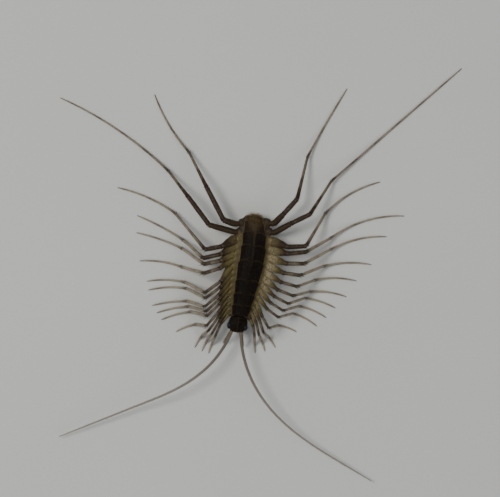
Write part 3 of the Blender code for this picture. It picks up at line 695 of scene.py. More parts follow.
class Paint:
    """A Principled material that starts from one colour and gets others coat by coat."""

    def __init__(self, name, ground, roughness, specular):
        self.material = bpy.data.materials.new(name)
        self.material.use_nodes = True
        self.tree = self.material.node_tree
        self.shader = self.tree.nodes["Principled BSDF"]
        self.shader.inputs["Roughness"].default_value = roughness
        self.shader.inputs["Specular IOR Level"].default_value = specular
        self.place = self.tree.nodes.new("ShaderNodeTexCoord").outputs["Object"]
        self.body = ground

    def node(self, kind, inputs=None, **settings):
        """A node with its settings, and its inputs given as numbers, colours or sockets."""
        made = self.tree.nodes.new(kind)
        for name, value in settings.items():
            setattr(made, name, value)
        for name, value in (inputs or {}).items():
            if isinstance(value, bpy.types.NodeSocket):
                self.tree.links.new(value, made.inputs[name])
            else:
                made.inputs[name].default_value = value
        return made

    def mark(self, name):
        """A number kept at the mesh's points."""
        return self.node("ShaderNodeAttribute", attribute_name=name).outputs["Fac"]

    def noise(self, size, detail=3.0):
        """Cloudy noise with patches about size millimetres across, from 0 to 1."""
        inputs = {"Vector": self.place, "Scale": 1 / (size * MM), "Detail": detail}
        return self.node("ShaderNodeTexNoise", inputs).outputs["Fac"]

    def math(self, operation, first, second, clamp=False):
        """Two numbers added, multiplied and so on."""
        return self.node("ShaderNodeMath", {0: first, 1: second}, operation=operation,
                         use_clamp=clamp).outputs[0]

    def spread(self, value, low, high, to_low=0.0, to_high=1.0):
        """A number between low and high brought to a new range, and kept inside it."""
        inputs = {"Value": value, "From Min": low, "From Max": high, "To Min": to_low,
                  "To Max": to_high}
        return self.node("ShaderNodeMapRange", inputs).outputs["Result"]

    def coat(self, colour, share, patches=None):
        """A colour laid over what is there, evenly or in patches, as thick as a socket or a
        mark says."""
        if isinstance(share, str):
            share = self.mark(share)
        if patches is not None:
            share = self.math("MULTIPLY", share, patches)
        under = self.body
        if not isinstance(under, bpy.types.NodeSocket):
            under = (*under, 1.0)
        inputs = {"Factor": share, 6: under, 7: (*colour, 1.0)}
        self.body = self.node("ShaderNodeMix", inputs, data_type="RGBA").outputs[2]

    def rough(self, socket):
        """Roughness from a socket."""
        self.tree.links.new(socket, self.shader.inputs["Roughness"])

    def bump(self, socket, height):
        """Relief of the given height in millimetres."""
        made = self.node("ShaderNodeBump", {"Height": socket, "Distance": height * MM})
        self.tree.links.new(made.outputs["Normal"], self.shader.inputs["Normal"])

    def grain(self, pebble, dust, height):
        """Relief of pebbles and dust about that many millimetres across."""
        inputs = {"Vector": self.place, "Scale": 1 / (pebble * MM)}
        pebbles = self.node("ShaderNodeTexVoronoi", inputs).outputs["Distance"]
        self.bump(self.math("ADD", pebbles, self.noise(dust, 2.0)), height)

    def finished(self):
        """The material, in the colour of all its coats."""
        self.tree.links.new(self.body, self.shader.inputs["Base Color"])
        return self.material


def shell_paint(name, colours):
    """Hard shell: near black, brown at the sides and rims, a tan line down the back."""
    paint = Paint(name, colours.shell, 0.5, 0.05)
    cloud = paint.noise(0.55, 4.0)
    ragged = paint.spread(paint.noise(0.22), 0.3, 0.62, 0.25, 1.0)
    paint.coat(colours.shell_brown, paint.spread(cloud, 0.45, 0.8, 0.0, 0.6))
    paint.coat(colours.shell_brown, "flank", paint.spread(cloud, 0.2, 0.7, 0.55, 1.0))
    paint.coat(colours.shell_rim, "rim", ragged)
    paint.coat(colours.back_line, "stripe", ragged)
    paint.coat(colours.horn, "horn")
    paint.rough(paint.spread(cloud, 0.3, 0.75, 0.42, 0.6))
    paint.grain(0.09, 0.05, 0.012)
    return paint.finished()


def skin_paint(name, colours):
    """Soft olive skin of flanks and coxae, mottled and finely wrinkled."""
    paint = Paint(name, colours.skin, 0.5, 0.2)
    cloud = paint.noise(0.42, 5.0)
    # Painted light on the right flank, at the pale mark.
    paint.coat(colours.skin_painted_light, "pale")
    paint.coat(colours.skin_dark, paint.spread(cloud, 0.32, 0.66, 0.0, 0.9))
    paint.coat(colours.skin_shade, "shade")
    paint.coat(colours.shell_brown, "dark")
    paint.coat(colours.membrane, "soft")
    paint.rough(paint.spread(cloud, 0.3, 0.7, 0.42, 0.6))
    paint.grain(0.12, 0.06, 0.02)
    return paint.finished()


def leg_paint(name, colours):
    """Leg skin: olive near the trunk, grey tan further out, with dark brown bands."""
    paint = Paint(name, colours.skin, 0.45, 0.16)
    cloud = paint.noise(0.45, 4.0)
    tone = paint.math("ADD", paint.mark("tone"), paint.spread(cloud, 0.2, 0.8, -0.22, 0.22),
                      clamp=True)
    # Painted light on the right leg bases, at the pale mark.
    paint.coat(colours.skin_painted_light, "pale")
    paint.coat(colours.skin_dark, paint.spread(paint.noise(0.42, 5.0), 0.32, 0.66, 0.0, 0.9))
    paint.coat(colours.leg_pale, paint.math("SUBTRACT", 1.0, paint.mark("olive")))
    paint.coat(colours.leg_dark, tone)
    paint.coat(colours.membrane, "soft")
    paint.coat(colours.horn, "horn")
    paint.rough(paint.spread(cloud, 0.3, 0.7, 0.35, 0.52))
    paint.grain(0.08, 0.04, 0.01)
    paint.shader.inputs["Subsurface Weight"].default_value = 0.12
    paint.shader.inputs["Subsurface Scale"].default_value = 0.3 * MM
    return paint.finished()


def feeler_paint(name, colours):
    """Feelers: brown at the root, grey towards the tip, darker in the rings' grooves."""
    paint = Paint(name, colours.feeler, 0.45, 0.3)
    cloud = paint.noise(0.5)
    paint.coat(colours.feeler_tip, "along")
    paint.coat(colours.leg_dark, "groove", paint.spread(cloud, 0.2, 0.8, 0.4, 0.9))
    paint.rough(paint.spread(cloud, 0.3, 0.7, 0.38, 0.55))
    paint.bump(paint.noise(0.05, 2.0), 0.01)
    return paint.finished()


def eye_paint(name, colours):
    """Glossy black facets with a faint blue painted sheen on their tops."""
    paint = Paint(name, colours.eye, 0.3, 0.12)
    # Painted sheen: a faint blue on the facets' tops.
    paint.coat(colours.eye_painted_sheen, "facet", paint.spread(paint.noise(0.3), 0.3, 0.7))
    paint.rough(paint.spread(paint.mark("facet"), 0.0, 1.0, 0.45, 0.26))
    return paint.finished()


def bristle_paint(name, colours):
    """Bristles, from dark brown to golden brown."""
    paint = Paint(name, colours.bristle, 0.5, 0.3)
    cloud = paint.spread(paint.noise(0.8), 0.3, 0.7, -0.15, 0.15)
    paint.coat(colours.bristle_gold, paint.math("ADD", paint.mark("gold"), cloud, clamp=True))
    return paint.finished()


def floor_paint(name, colours):
    """Pale matt floor with hardly any cloud in it."""
    paint = Paint(name, colours.floor, 0.8, 0.2)
    dim = tuple(value * 0.97 for value in colours.floor)
    paint.coat(dim, paint.spread(paint.noise(60.0, 2.0), 0.3, 0.7))
    return paint.finished()


# Trunk

def plate_top(front, rear):
    """One back plate: an arc of the trunk's oval, x = (w + lift) sin b and z = (0.52 w + lift)
    cos b, lifted towards its rear, with round rear corners, a notch behind, and its relief."""
    share = np.linspace(0, 1, PLATE_GRID[0])[:, None]
    across = np.linspace(-1, 1, PLATE_GRID[1])[None, :]
    beside = np.abs(across)
    depth = min(PLATE_NOTCH, PLATE_NOTCH_DEPTH / (rear - front))
    cut = PLATE_CORNER * beside**4 + depth * hump(across, 0, PLATE_NOTCH_WIDTH)
    y = front + (rear - front) * share * (1 - cut * share**2)
    rear_rim = hump(share, *REAR_RIM)
    side_rim = hump(beside, *SIDE_RIM)
    rolled = np.maximum(ease(share, 0.98, 1.0), ease(beside, 0.98, 1.0))
    saddle = hump(across, 0, 0.2) * ease(share, 0.45, 0.95)
    pore = hump(across, 0, 0.035) * hump(share, 0.86, 0.07)
    keel = hump(beside, *KEEL) * ease(share, 0.1, 0.5)
    lift = (PLATE_LIFTS[0] + (PLATE_LIFTS[1] - PLATE_LIFTS[0]) * share**1.5
            + RIM_HEIGHT * np.maximum(rear_rim, side_rim) - EDGE_ROLL * rolled
            + SADDLE_HEIGHT * saddle - PORE_DEPTH * pore + KEEL_HEIGHT * keel)
    angle = across * PLATE_ARC
    width = half_width(y)
    points = np.stack([axis_x(y) + (width + lift) * np.sin(angle), y,
                       TRUNK_Z + (width * TRUNK_FLATNESS + lift) * np.cos(angle)], -1)
    line_width = 0.06 + 0.5 * ease(y, 8.5, 12.5)
    line_strength = 0.03 + 0.65 * ease(y, TRUNK_FRONT, TRUNK_REAR) ** 3
    marks = {
        "rim": 0.7 * np.clip(rear_rim + 0.7 * side_rim, 0, 1),
        "flank": np.maximum(0.6 * ease(beside, 0.6, 0.95), ease(y, 6.5, 12.0)),
        "stripe": hump(across, 0, line_width) * line_strength,
        "horn": pore,
    }
    return points, marks


def plate_spans():
    """Front and rear of each back plate."""
    rears = np.minimum(np.array(PLATE_EDGES[1:]) + PLATE_OVERLAP, TRUNK_REAR)
    return list(zip(PLATE_EDGES[:-1], rears))


def belly_spans():
    """Front and rear of each belly plate: the stretch of trunk about a pair of hips."""
    rows = np.array([hip_y(leg) for leg in LEGS])
    between = (rows[1:] + rows[:-1]) / 2
    edges = [rows[0] - BELLY_ENDS[0], *between, rows[-1] + BELLY_ENDS[1]]
    return list(zip(edges[:-1], edges[1:]))


def core_surface():
    """Trunk under the plates: x = w cos a and z = 0.52 w sin a, or 0.47 w sin a below, where
    w is drawn in under the plates, swells along the flanks and narrows between the hips."""
    y = np.linspace(CORE_FRONT, CORE_REAR, 240)[:, None]
    angle = ring_angles(96)
    level = np.sin(angle)
    fold = np.cos(FULL_TURN * hip_count(y))
    roll = hump(level, FLANK_LEVEL, np.where(level > FLANK_LEVEL, 0.36, 0.5))
    reach = np.interp(y, FLANK_STATIONS, FLANK_REACHES)
    width = (half_width(np.clip(y, WIDTH_STATIONS[0], WIDTH_STATIONS[-1]))
             - 0.36 * ease(level, 0.25, 0.6) + reach * roll * (1 + 0.2 * fold)
             + 0.05 * fold * hump(level, -0.75, 0.4))
    tall = np.where(level < 0, BELLY_FLATNESS, TRUNK_FLATNESS)
    rings = np.stack([axis_x(y) - width * np.cos(angle), y + 0 * angle,
                      TRUNK_Z + width * tall * level], -1)
    front, rear = y[0, 0], y[-1, 0]
    return closed_rings(rings, (axis_x(front), front, TRUNK_Z),
                        (axis_x(rear), rear + 0.2, TRUNK_Z))


def coxa_surface(side, leg):
    """Rounded base of a leg, from well inside the trunk out to the leg's first ring."""
    stub, facing = hip(side, leg)
    depth = COXA_DEPTH + np.interp(leg, HIP_LEGS, HIP_REACHES)
    line = straight_line(stub - facing * depth, stub + facing * COXA_PROUD, count=22)
    return tube(line, spline(COXA_AT, COXA_SHAPE, line.stations), sides=24,
                wide=np.interp(leg, HIP_LEGS, COXA_BREADTHS),
                tall=np.interp(leg, HIP_LEGS, COXA_HEIGHTS))


def flank_painted_light(y):
    """Painted light: how much paler the right flank and its leg bases are made at y, as in
    the photograph.
    """
    return hump(y, PAINTED_LIGHT_AT, PAINTED_LIGHT_LENGTH)


def build_trunk_skin(sizes, colours):
    """Core and coxae as one skin, marked soft between the coxae, shaded beside the plates,
    dark at both ends and with painted light along the right flank."""
    surfaces = [core_surface()]
    surfaces += [coxa_surface(side, leg) for side in SIDES for leg in LEGS]
    surfaces.append(blob(beside_axis(RIGHT, TELSON_AT) + TELSON_SHIFT, TELSON_SIZE))
    skin = one_skin(surfaces, SKIN_VOXEL, smoothing=3)
    x, y, z = skin.points.T
    along = np.clip(y, TRUNK_FRONT, TRUNK_REAR)
    beside = x - axis_x(along)
    out = np.abs(beside) - half_width(along)
    between = (1 - np.cos(FULL_TURN * hip_count(y))) / 2
    shade_reach = np.where(beside < 0, 1.75, 1.2)
    skin.marks = {
        "soft": 0.25 * between**3 * ease(out, -0.6, 0.0) * ease(z, 4.2, 3.4),
        "shade": 0.8 * (1 - ease(out, 0.15, shade_reach)),
        "dark": 0.88 * ease(y, 8.9, 9.8) + 0.8 * ease(y, -9.9, -10.3),
        # Painted light on the right flank: its skin made paler.
        "pale": ease(beside, 0, 0.5) * flank_painted_light(y) * hump(out, 1.4, 0.9),
    }
    make_piece("trunk_skin", skin, skin_paint("flank skin", colours), ["trunk"])


def build_back_plates(sizes, colours):
    """Eight shingles over the back as closed thin shells, in one object."""
    plates = []
    for front, rear in plate_spans():
        points, marks = plate_top(front, rear)
        plates.append(sheet(points, sizes.plate_thickness / MM, **marks))
    make_piece("back_plates", joined(plates), shell_paint("back shell", colours),
               sharp=50)


def build_belly_plates(sizes, colours):
    """One shield on the belly for each pair of legs: x = (w + lift) sin b and z = -(0.47 w +
    lift) cos b, with thin edges and a dent in the middle."""
    share = np.linspace(0, 1, 20)[:, None]
    across = np.linspace(1, -1, 28)[None, :]
    edge = np.maximum(ease(np.abs(2 * share - 1), 0.85, 1), ease(np.abs(across), 0.9, 1))
    lift = BELLY_LIFT - 0.08 * edge - 0.07 * hump(across, 0, 0.12)
    angle = across * BELLY_ARC
    shields = []
    for front, rear in belly_spans():
        y = front + (rear - front) * (0.06 + 0.9 * share * (1 - 0.14 * across**4))
        width = half_width(y)
        points = np.stack([axis_x(y) + (width + lift) * np.sin(angle), y,
                           TRUNK_Z - (width * BELLY_FLATNESS + lift) * np.cos(angle)], -1)
        shields.append(sheet(points, BELLY_THICKNESS, rim=0.6 * edge, flank=0.8))
    make_piece("belly_plates", joined(shields), shell_paint("belly shell", colours),
               sharp=50)


def ripples(height, number):
    """Relief of waves across a blob, height cos(number y)."""
    return lambda d: height * np.cos(number * d[..., 1])


def build_tail(sizes, colours):
    """The blunt last segment's cap and the two short claspers below it."""
    parts = [blob(beside_axis(RIGHT, TELSON_AT) + TAIL_CAP_SHIFT, TAIL_CAP_SIZE,
                  relief=ripples(height=0.05, number=9), tone=0.95, olive=1.0)]
    for side in SIDES:
        root, tip = (beside_axis(side, spot) for spot in CLASPER_PATH)
        line = straight_line(root, tip, count=18)
        t = line.stations
        radius = (0.26 - 0.14 * t) * (1 - 0.18 * hump(t, 0.45, 0.05)) * (1 - 0.3 * ease(t, 0.9, 1))
        parts.append(tube(line, radius, sides=16, tone=0.4 + 0.5 * hump(t, 0.8, 0.2), olive=1.0))
    make_piece("tail_end", joined(parts), leg_paint("tail skin", colours))


# Legs

def slimness(leg):
    """The front legs are slimmer than the others."""
    return float(np.interp(leg, SLIM_LEGS, SLIM_FACTORS))


def leg_stations(line, joints, pitch):
    """Stations of a leg's rings: even down to the ankle, then four for each ring of the foot."""
    upper = np.arange(0, joints[4] - 0.08, 0.1)
    starts = np.arange(joints[4], line.stations[-1] - pitch * 0.5, pitch)
    lower = (starts[:, None] + RING_STATIONS * pitch).ravel()
    return np.concatenate([upper, lower, line.stations[-1:]]), len(upper)


def joint_relief(stations, joints):
    """Radius along a leg against the plain one, with the forms of its joints."""
    relief = np.ones_like(stations)
    for joint, swell in zip(joints[1:5], JOINT_SWELLS):
        relief += swell * sum(height * hump(stations - joint, place, width)
                              for height, place, width in JOINT_FORMS)
    return relief


def leg_marks(side, leg, stations, joints, count):
    """Tone of the bands, olive near the trunk, painted light on the right leg bases, soft skin
    at the joints, horn at the tip. The last legs are dark all along their upper part."""
    foot = stations - joints[4]
    bands = 0.5 + 0.5 * np.cos(FULL_TURN * foot / FOOT_BAND_LENGTH)
    dark = float(np.interp(leg, DARK_LEGS, (0, 1)))
    tone = np.interp(count, LEG_TONE_AT, LEG_TONES)
    tone += np.where(foot > 0, 0.35 * bands**2 * ease(foot, 0, 1.0), 0)
    tone += dark * (0.9 * ease(count, 0.3, 0.6) * (1 - 0.55 * ease(count, 2.7, 3.7))
                    * (1 - 0.7 * ease(count, 3.9, 4.4)) + 0.05)
    soft = sum(softness * hump(stations, joint + 0.08, 0.09)
               for joint, softness in zip(joints[1:5], JOINT_SOFTNESS))
    return {"tone": np.clip(tone, 0, 1),
            "olive": 1 - ease(count, 1.8, 2.3),
            # Painted light on the right leg bases, as on the right flank.
            "pale": flank_painted_light(hip_y(leg)) * (1 - ease(count, 1.1, 1.7)) * (side == RIGHT),
            "soft": soft * (1 - 0.8 * dark),
            "horn": ease(stations, joints[5] - 0.18, joints[5])}


def leg_skin(side, leg, path, joints, sizes):
    """One leg as a tube that is ribbed to the ankle, r (1 + 0.11 (cos^4 2.5 a - 0.35)), broad
    at the prefemur, swollen at its joints and ringed along the foot; its radius, and its end."""
    stations, upper = leg_stations(path, joints, sizes.ring_pitch / MM)
    count = np.interp(stations, joints, np.arange(6))
    slim = slimness(leg) + (1 - slimness(leg)) * ease(count, 2.9, 3.6)
    radius = spline(LEG_RADIUS_AT, LEG_RADII, count) * slim * sizes.leg_thickness
    radius *= joint_relief(stations, joints)
    beads = np.ones(len(stations))
    beads[upper:-1] = np.tile(RING_SWELLS, (len(stations) - upper) // len(RING_SWELLS))
    around = ring_angles(LEG_SIDES) - math.pi / 2
    rib = np.abs(np.cos(LEG_RIDGES / 2 * around)) ** 4
    ribs = 1 + RIDGE_HEIGHT * (1 - ease(count, 3.7, 4.0))[:, None] * (rib - 0.35)
    broad = np.interp(leg, SPREAD_LEGS, PREFEMUR_SPREADS) * ease(count, 0.1, 0.4)
    broad *= (1 - 0.45 * ease(count, 1.0, 1.5)) * (1 - ease(count, 1.45, 2.0))
    upright = 1 - ease(count, 3.0, 3.4)
    line = path.at(stations)
    skin = tube(line, radius * beads, LEG_SIDES, ribs,
                wide=1 + broad - 0.06 * upright, tall=1 + 0.08 * upright,
                **leg_marks(side, leg, stations, joints, count))
    return skin, np.interp(path.stations, stations, radius), line.at(stations[-1:])


def spine_surface(root, aim, length, width, bend):
    """Stout spine with a swollen foot: a tube of radius w (1 - t)^0.8 along a bent line."""
    t = np.linspace(0, 1, 7)
    line = Line(t, root + (unit(aim) * t[:, None] + bend * (t**2)[:, None]) * length)
    radius = width * ((1 - t) ** 0.8 * (1 + 0.35 * hump(t, 0.0, 0.12)) + 0.04)
    return tube(line, radius, 7, horn=ease(t, 0.0, 0.35), tone=0.8)


def leg_spines(line, joints, end, leg, length):
    """Spines round the end of the prefemur, the knee and the ankle: two long ones above,
    as on the solid, and shorter ones beside and below; and a claw at the tip."""
    scale = float(np.interp(leg, SPINE_LEGS, SPINE_FACTORS))
    spines = [spine_surface(end.centre[0], end.forward[0], length=0.3, width=0.05,
                            bend=-UP * 0.12)]
    for joint, stout in zip(joints[2:5], SPINE_STOUTNESS):
        for degrees, share, place in SPINE_FAN:
            centre, forward, away = line.spot(joint + place, degrees)
            aim = forward * math.cos(SPINE_LEAN) + away * math.sin(SPINE_LEAN)
            spines.append(spine_surface(centre + away * 0.2 * scale, aim,
                                        length * share * scale * stout,
                                        SPINE_RADIUS * scale * stout, forward * 0.14))
    return spines


def leg_bristles(line, joints, radius, leg, length, rng):
    """Short bristles in rows down the upper leg, and under and along the foot."""
    upper = np.arange(joints[1] - 0.3, joints[4], UPPER_BRISTLE_PITCH)
    foot = np.arange(joints[4] + 0.2, joints[5] - 0.1, FOOT_BRISTLE_PITCH)
    upper_angles = ring_angles(BRISTLE_ROWS) + math.pi / 2
    station = np.repeat(np.append(upper, foot), BRISTLE_ROWS)
    angle = np.append(np.tile(upper_angles, len(upper)), np.tile(FOOT_BRISTLE_ANGLES, len(foot)))
    share = np.append(np.ones(len(upper) * BRISTLE_ROWS),
                      np.tile(FOOT_BRISTLE_LENGTHS, len(foot)))
    station = station + rng.uniform(-0.1, 0.1, len(station))
    angle = angle + rng.normal(0, 0.3, len(angle))
    depth = np.interp(station, line.stations, radius) * 0.9
    roots, forward, away, spots = hairs_round(line, station, angle, depth, leg - 1, LEG_PAIRS,
                                              margin=0.1)
    low = ease(roots[:, 2], 0.12, 0.35)
    aims = forward + away * (0.25 + 0.6 * low * rng.uniform(0.7, 1.3, len(station)))[:, None]
    aims[:, 2] *= np.where(low < 1, 0.3, 1)
    slim = 0.6 + 0.4 * slimness(leg)
    lengths = length * slim * share * rng.uniform(0.75, 1.2, len(station))
    return bristles(roots, aims, lengths, LEG_BRISTLE, forward * 0.2, spots,
                    gold=rng.uniform(0.1, 0.5, len(station)))


def build_legs(sizes, colours):
    """Thirty legs, each with its spines in one object; the bristles of each side are another."""
    paint = leg_paint("leg skin", colours)
    hair = bristle_paint("leg bristles", colours)
    rng = np.random.default_rng(SEED)
    for side, label in SIDES.items():
        coat = []
        for leg in LEGS:
            path, joints = leg_line(side, leg)
            skin, radius, end = leg_skin(side, leg, path, joints, sizes)
            spines = leg_spines(path, joints, end, leg, sizes.spine_length / MM)
            make_piece(f"{label}_leg_{leg:02d}", joined([skin, *spines]), paint,
                       [f"leg_{label}_{leg:02d}"])
            coat.append(leg_bristles(path, joints, radius, leg, sizes.bristle_length / MM, rng))
        make_piece(f"{label}_leg_bristles", joined(coat), hair)


# Head and what grows from it

def head_relief(d):
    """Relief of the head dome in units of its size: orbits round the eyes, swellings under
    the feelers, a groove down the middle that forks to them, full corners and a collar."""
    p = np.array(HEAD_SIZE) * d + np.array(HEAD_AT)
    x, y = p[..., 0], p[..., 1]
    groove = hump(x, 0, 0.07) * ease(y, -12.6, -12.2)
    fork = hump(y, -12.45 - 0.55 * np.abs(x), 0.07) * (np.abs(x) < 1.2)
    relief = -0.035 * ease(d[..., 2], 0.1, 0.6) * np.maximum(groove, fork)
    for side in SIDES:
        mirror = np.array((side, 1, 1))
        away = np.linalg.norm((p - EYE_AT * mirror) / np.array(EYE_SIZE), axis=-1)
        relief += 0.05 * hump(away, 1.28, 0.16) - 0.05 * (1 - ease(away, 0.8, 1.15))
        relief += 0.05 * hump(np.linalg.norm(p - SOCKET_AT * mirror, axis=-1), 0, 0.45)
    return relief + 0.03 * hump(y, COLLAR_Y, 0.12) + 0.32 * d[..., 0] ** 2 * d[..., 1] ** 2


def lip_notch(d):
    """Relief of the lip: a notch in the middle of its front."""
    return -0.16 * hump(d[..., 0], 0, 0.14) * (d[..., 1] < 0)


def build_head(sizes, colours):
    """Domed head, lip, jaws and the sockets of the feelers."""
    centre = beside_axis(RIGHT, HEAD_AT)
    dome = blob(centre, HEAD_SIZE, rows=90, columns=120, relief=head_relief)
    x, y, z = ((dome.points - centre) / HEAD_SIZE).T
    dome.marks = {"flank": 0.7 * ease(np.abs(x), 0.5, 0.95) + 0.8 * ease(-z, 0.0, 0.5),
                  "rim": 0.5 * hump(dome.points[:, 1], COLLAR_Y, 0.1),
                  "stripe": 0.35 * hump(x, 0, 0.05) * (z > 0)}
    parts = [dome, blob(beside_axis(RIGHT, LIP_AT), LIP_SIZE, rows=30, columns=40,
                        relief=lip_notch, flank=0.8)]
    for side in SIDES:
        parts.append(blob(beside_axis(side, JAW_AT), JAW_SIZE, rows=24, columns=32,
                          relief=ripples(height=0.03, number=14), flank=1.0, rim=0.25))
        path = antenna_line(side).at(np.linspace(-0.1, SOCKET_LENGTH + 0.2, 24))
        t = path.stations / SOCKET_LENGTH
        radius = (0.5 - 0.1 * t + 0.05 * hump(t, 0.35, 0.07) + 0.05 * hump(t, 0.95, 0.07)
                  - 0.07 * hump(t, 0.65, 0.1))
        parts.append(tube(path, radius, sides=28, flank=0.6, rim=0.8 * hump(t, 0.95, 0.1)))
    make_piece("head_shell", joined(parts), shell_paint("head shell", colours),
               ["head"], sharp=60)


def build_eyes(sizes, colours):
    """Compound eyes: an ellipsoid on which each point rises as a dome over the nearest of
    the facet centres, which lie on a golden-angle spiral."""
    paint = eye_paint("eye facets", colours)
    number = np.arange(sizes.eye_facets)
    height = 1 - 2 * (number + 0.5) / sizes.eye_facets
    turn = number * math.pi * (3 - math.sqrt(5))
    level = np.sqrt(1 - height**2)
    middles = np.stack([level * np.cos(turn), level * np.sin(turn), height], -1)
    reach = math.sqrt(4 * math.pi / sizes.eye_facets) * FACET_BREADTH

    def facets(d):
        nearest = np.arccos(np.clip((d @ middles.T).max(axis=-1), -1, 1))
        return FACET_HEIGHT * np.sqrt(np.clip(1 - (nearest / reach) ** 2, 0, 1))

    for side, label in SIDES.items():
        centre = beside_axis(side, EYE_AT)
        eye = blob(centre, EYE_SIZE, rows=110, columns=150, relief=facets)
        rise = np.linalg.norm((eye.points - centre) / EYE_SIZE, axis=1) - 1
        eye.marks = {"facet": np.clip(rise / FACET_HEIGHT, 0, 1)}
        make_piece(f"{label}_eye", eye, paint, ["eye_" + label])


def limb_rings(profile, joints, collar, neck):
    """Along a claw or palp: shares of its length, the radius, with a collar before each joint
    and a neck on it, and how soft the skin is. A collar has a height, a setback and a width."""
    t = np.linspace(0, 1, 120)
    radius = spline(*profile, t)
    soft = 0 * t
    height, setback, width = collar
    for joint in joints:
        radius = radius * (1 + height * hump(t, joint - setback, width)
                           - neck * hump(t, joint + 0.012, 0.014))
        soft = soft + 0.6 * hump(t, joint + 0.012, 0.012)
    return t, radius, soft


def build_claws(sizes, colours):
    """Poison claws: a root, a stout base with two rows of spines, a short ring and a curved
    dark fang."""
    paint = leg_paint("claw skin", colours)
    t, radius, soft = limb_rings(CLAW_PROFILE, CLAW_JOINTS, collar=(0.08, 0.025, 0.018),
                                 neck=0.16)
    for side, label in SIDES.items():
        path = limb_line(side, CLAW_PATH)
        parts = [tube(path.evenly(len(t)), radius, sides=26, horn=ease(t, 0.7, 0.92),
                      soft=soft, tone=0.3 + 0.35 * t, olive=1 - t)]
        for share in CLAW_SPINES_AT:
            for degrees in CLAW_SPINE_ANGLES:
                centre, forward, away = path.spot(share * path.stations[-1], degrees)
                parts.append(spine_surface(centre + away * 0.4, away + forward, length=0.42,
                                           width=0.035, bend=forward * 0.1))
        make_piece(f"{label}_poison_claw", joined(parts), paint, ["claw_" + label])


def build_palps(sizes, colours):
    """Feeding palps, jointed and banded like small legs."""
    paint = leg_paint("palp skin", colours)
    t, radius, soft = limb_rings(PALP_PROFILE, PALP_JOINTS, collar=(0.12, 0.03, 0.02),
                                 neck=0.2)
    bands = 0.15 + 0.6 * sum(hump(t, joint - 0.07, 0.04) for joint in PALP_JOINTS)
    for side, label in SIDES.items():
        skin = tube(limb_line(side, PALP_PATH).evenly(len(t)), radius, sides=20, tone=bands,
                    soft=soft, olive=1 - 0.7 * t, horn=ease(t, 0.96, 1.0))
        make_piece(f"{label}_palp", skin, paint, ["palp_" + label])


def build_feelers(sizes, colours):
    """Feelers: a whip of nearly two hundred rings, each a little wider at its far end, with
    a whorl of hairs."""
    paint = feeler_paint("feeler skin", colours)
    rng = np.random.default_rng(SEED + 1)
    coat = []
    for index, (side, label) in enumerate(SIDES.items()):
        path = antenna_line(side)
        length = path.stations[-1]
        starts = np.arange(SOCKET_LENGTH + 0.05, length - WHIP_PITCH, WHIP_PITCH)
        stations = np.append((starts[:, None] + WHIP_STATIONS * WHIP_PITCH).ravel(), length)
        share = stations / length
        radius = np.interp(share, WHIP_AT, WHIP_RADII)
        beads = np.append(np.tile(WHIP_SWELLS, len(starts)), 1.0)
        groove = np.append(np.tile(WHIP_GROOVES, len(starts)), 0.0)
        whip = tube(path.at(stations), radius * beads, sides=12,
                    along=ease(share, 0.0, 0.6), groove=groove)
        make_piece(f"{label}_feeler", whip, paint, ["antenna_" + label])
        whorl = np.repeat(starts + WHIP_PITCH * 0.85, BRISTLE_ROWS)
        angle = rng.uniform(0, FULL_TURN, len(whorl))
        depth = np.interp(whorl, stations, radius) * 0.95
        roots, forward, away, spots = hairs_round(path, whorl, angle, depth, index, len(SIDES))
        coat.append(bristles(roots, forward * 0.8 + away, rng.uniform(0.16, 0.34, len(whorl)),
                             FINE_BRISTLE, forward * 0.25, spots,
                             gold=rng.uniform(0.2, 0.6, len(whorl))))
    make_piece("feeler_bristles", joined(coat), bristle_paint("feeler bristles", colours))


# Bristles of trunk and head

def plate_bristles(rng):
    """Bristles in a row behind each back plate, beside it, and scattered over it."""
    rows, columns = PLATE_GRID
    behind = np.array((0.0, 1.0, 0.0))
    fringe = PLATE_FRINGE
    scattered = PLATE_SCATTER
    groups = []
    for front, rear in plate_spans():
        points = plate_top(front, rear)[0]
        normal = unit(np.cross(np.gradient(points, axis=1), np.gradient(points, axis=0)))
        edge = int(PLATE_EDGE_HAIRS * (rear - front))
        i = np.concatenate([np.full(fringe, rows - 2), rng.integers(2, rows - 2, edge),
                            rng.integers(2, rows - 3, scattered)])
        j = np.concatenate([np.linspace(1, columns - 2, fringe).astype(int),
                            rng.choice((1, columns - 2), edge),
                            rng.integers(3, columns - 3, scattered)])
        lengths = np.concatenate([rng.uniform(0.22, 0.42, fringe), rng.uniform(0.15, 0.3, edge),
                                  rng.uniform(0.1, 0.2, scattered)])
        y = points[i, j, 1]
        shaggy = ease(y, 8.5, 12.5)
        aims = behind + normal[i, j] * rng.uniform(0.25, 0.7, len(i))[:, None]
        along = (y - TRUNK_FRONT) / (TRUNK_REAR - TRUNK_FRONT)
        spots = 0.02 + np.stack([0.96 * j / columns, 0.95 * along], -1)
        groups.append(bristles(points[i, j] - normal[i, j] * 0.02, aims,
                               lengths * (1 + 1.3 * shaggy), FINE_BRISTLE, behind * 0.2, spots,
                               gold=rng.uniform(0.1, 0.5, len(i)) + 0.35 * shaggy))
    return joined(groups)


def rear_tuft(rng):
    """The brown fuzz on the rear end: hairs on a dome that stream backwards."""
    turn = rng.uniform(0, FULL_TURN, TUFT_HAIRS)
    reach = np.sqrt(rng.uniform(0.05, 1, TUFT_HAIRS))
    d = np.stack([reach * np.cos(turn), np.sqrt(np.clip(1 - reach**2, 0, 1)),
                  reach * np.sin(turn)], -1)
    roots = beside_axis(RIGHT, TUFT_AT) + d * TUFT_SIZE
    aims = d * np.array((0.8, 1.0, 0.7)) + rng.normal(0, 0.26, d.shape)
    spots = np.stack([0.5 + 0.45 * d[:, 0], 0.9 + 0.08 * d[:, 2]], -1)
    return bristles(roots, aims, rng.uniform(0.3, 1.2, TUFT_HAIRS), 0.016,
                    np.array((0.0, 0.15, -0.05)), spots,
                    gold=0.25 + 0.75 * ease(roots[:, 1], 12.2, 13.3)
                    * rng.uniform(0.4, 1, TUFT_HAIRS))


